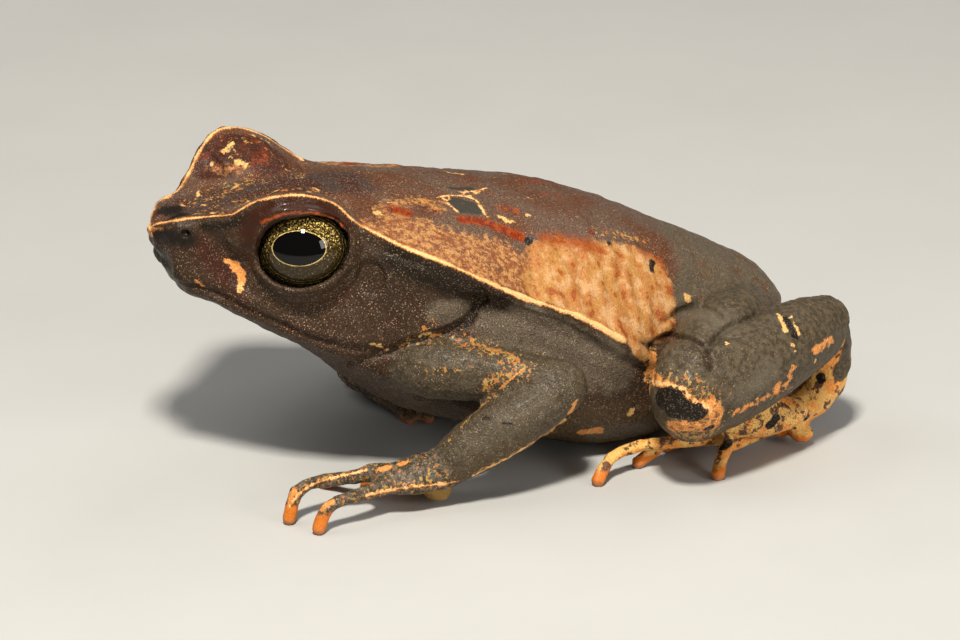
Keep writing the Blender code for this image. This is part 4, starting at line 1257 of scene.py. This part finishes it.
    # painted shade in the hollows between the granules
    base = mix(times(grain["Valley"], finish["valleyShade"]), base, "black")
    strength, depth = finish["bump"]
    inputs = {"Height": grain["Height"], "Strength": strength, "Distance": depth}
    bump = addNode(tree, "ShaderNodeBump", inputs)
    gloss, least = finish["gloss"]
    setInput(shader.inputs["Base Color"], base)
    setInput(shader.inputs["Normal"], bump.outputs["Normal"])
    setInput(shader.inputs["Roughness"], noisy("small", 0.3, 0.7, *finish["roughness"]))
    setInput(shader.inputs["Coat Weight"], plus(masked("gloss", gloss), least))
    shader.inputs["Coat Roughness"].default_value = finish["coatRoughness"]
    shader.inputs["Specular IOR Level"].default_value = finish["specular"]
    return material


eyeColours = {
    "pupil": (0.0015, 0.0012, 0.0012),
    "ground": (0.020, 0.012, 0.004),
    "net": (0.26, 0.17, 0.035),
    "netBright": (0.66, 0.48, 0.14),
    "rim": (0.70, 0.55, 0.20),
    "outer": (0.012, 0.008, 0.004),
    "arc": (0.34, 0.25, 0.06),
}

# Lengths on the eye's surface are in mm from the middle of the iris.
irisPlan = {
    "pupil": (2.30, 1.43, -0.36, 0.20),    # half width, half height, and where its middle lies
    "outer": (3.80, 2.86, 0.0, 0.12),
    "nets": ((5.5, 0.09, 0.6, "net"), (2.9, 0.08, 0.4, "netBright")),     # scale, width, share, colour
    "rimAt": 1.03,
    "rimWidth": (0.026, 0.008),
    "arcWaves": 62.0,
    "finish": {
        "Roughness": 0.5,
        "Specular IOR Level": 0.0,
        "Coat Weight": 1.0,
        "Coat IOR": 1.36,
        "Coat Roughness": 0.01,
    },
}


def makeEyeMaterial(colours, plan):
    material, tree, shader = newMaterial("toadEye")
    plane = addNode(tree, "ShaderNodeAttribute", attribute_name="irisPlane").outputs["Vector"]
    parts = addNode(tree, "ShaderNodeSeparateXYZ", {0: plane})
    across, upward = parts.outputs[0], parts.outputs[1]
    wobble = times(minus(noiseAt(plane, 2.6, 3.0), 0.5), 0.10)

    def oval(halfWide, halfTall, shift, lift):
        x = calc("DIVIDE", minus(across, shift), halfWide)
        y = calc("DIVIDE", minus(upward, lift), halfTall)
        return calc("SQRT", plus(times(x, x), times(y, y)))

    # the iris: a net of gold threads and flecks, brighter at the top
    pupil = plus(oval(*plan["pupil"]), times(wobble, 0.3))
    outer = oval(*plan["outer"])
    patch = noiseAt(plane, 3.4, 3.0, 0.6)
    bright = times(spread(patch, 0.44, 0.62), spread(upward, -1.5, 2.2, 0.16, 1.0))
    iris = colours["ground"]
    for scale, width, share, colour in plan["nets"]:
        thread = spread(cellsAt(plane, scale, "DISTANCE_TO_EDGE")["Distance"], width, 0.02)
        iris = paint(times(thread, bright, share), iris, colours[colour])
    fleck = minus(noiseAt(plane, 5.2, 3.0, 0.6), spread(upward, -1.8, 2.2, 0.66, 0.555))
    iris = paint(spread(fleck, 0.0, 0.035), iris, colours["netBright"])

    # the dark outer part with its fine arcs
    iris = paint(spread(outer, 0.93, 1.0), iris, colours["outer"])
    wave = calc("SINE", times(plus(outer, wobble), plan["arcWaves"]))
    arcMask = times(spread(wave, 0.55, 1.0), spread(patch, 0.42, 0.58))
    arcMask = times(arcMask, spread(outer, 0.96, 1.0), 0.55)
    iris = paint(arcMask, iris, colours["arc"])

    # the pupil and its gold rim
    rim = spread(calc("ABSOLUTE", minus(pupil, plan["rimAt"])), *plan["rimWidth"])
    rim = times(rim, spread(noiseAt(plane, 1.1, 2.0), 0.35, 0.6, 0.45, 1.0))
    iris = paint(rim, iris, colours["rim"])
    iris = paint(spread(pupil, 1.01, 0.99), iris, colours["pupil"])
    setInput(shader.inputs["Base Color"], iris)
    for name, value in plan["finish"].items():
        shader.inputs[name].default_value = value
    return material


skin.data.materials.append(makeSkinMaterial(skinColours, skinFinish))
for eye in eyes:
    eye.data.materials.append(makeEyeMaterial(eyeColours, irisPlan))
print("materials made")

# Floor, light and air
floorPlan = {
    "size": 3.0,
    "colour": (0.44, 0.44, 0.43),
    "shade": (0.40, 0.40, 0.39),
    "clouds": (60.0, 4.0),   # scale and detail
    "roughness": 0.85,
}
bpy.ops.object.select_all(action="DESELECT")
bpy.ops.mesh.primitive_plane_add(size=floorPlan["size"])
floor = bpy.context.object
floor.name = "floor"
floorMaterial, floorTree, floorShader = newMaterial("paleFloor")
floorCoords = addNode(floorTree, "ShaderNodeTexCoord").outputs["Object"]
clouds = noiseAt(floorCoords, *floorPlan["clouds"])
floorColour = paint(clouds, floorPlan["colour"], floorPlan["shade"])
setInput(floorShader.inputs["Base Color"], floorColour)
floorShader.inputs["Roughness"].default_value = floorPlan["roughness"]
floor.data.materials.append(floorMaterial)

# Each light: (degrees round from the nose, degrees up, distance in m, size in m, power, colour).
lights = {
    "keyLight": (64, 59, 0.42, 0.05, 2.8, (1, 0.94, 0.84)),
    "softLight": (-20, 52, 0.6, 0.4, 1.1, (1, 0.97, 0.92)),
    "rearLight": (205, 50, 0.6, 0.4, 0.7, (1, 0.98, 0.95)),
    "sideLight": (124, 20, 0.6, 0.2, 1.0, (1, 0.96, 0.90)),
    "lowLight": (104, 8, 0.6, 0.2, 0.9, (1, 0.96, 0.90)),
}
lightAim = (0, 0, 0.012)         # m, the middle of the toad
airPlan = {"colour": (0.95, 0.95, 0.95, 1), "strength": 0.10}


def addLight(name, azimuth, elevation, distance, size, power, colour):
    light = bpy.data.lights.new(name, "AREA")
    light.size = size
    light.energy = power
    light.color = colour
    holder = addObject(name, light)
    away = Vector(heading(azimuth, elevation))
    holder.location = away * distance + Vector(lightAim)
    holder.rotation_euler = away.to_track_quat("Z", "Y").to_euler()
    holder.visible_glossy = name != "lowLight"     # it would shine along the lower edges


for name, settings in lights.items():
    addLight(name, *settings)
world = bpy.data.worlds.new("studioAir")
bpy.context.scene.world = world
world.use_nodes = True
air = world.node_tree.nodes["Background"]
air.inputs["Color"].default_value = airPlan["colour"]
air.inputs["Strength"].default_value = airPlan["strength"]
bpy.context.scene.view_settings.view_transform = "Standard"
print("studio lit")

# What each piece rides on and stands for
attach(skin, "root")
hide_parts(*[name for name in frame["nodes"] if name not in skinPlan["kept"]])
for eye, node in zip(eyes, skinPlan["kept"]):
    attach(eye, "root")
    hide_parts(node)
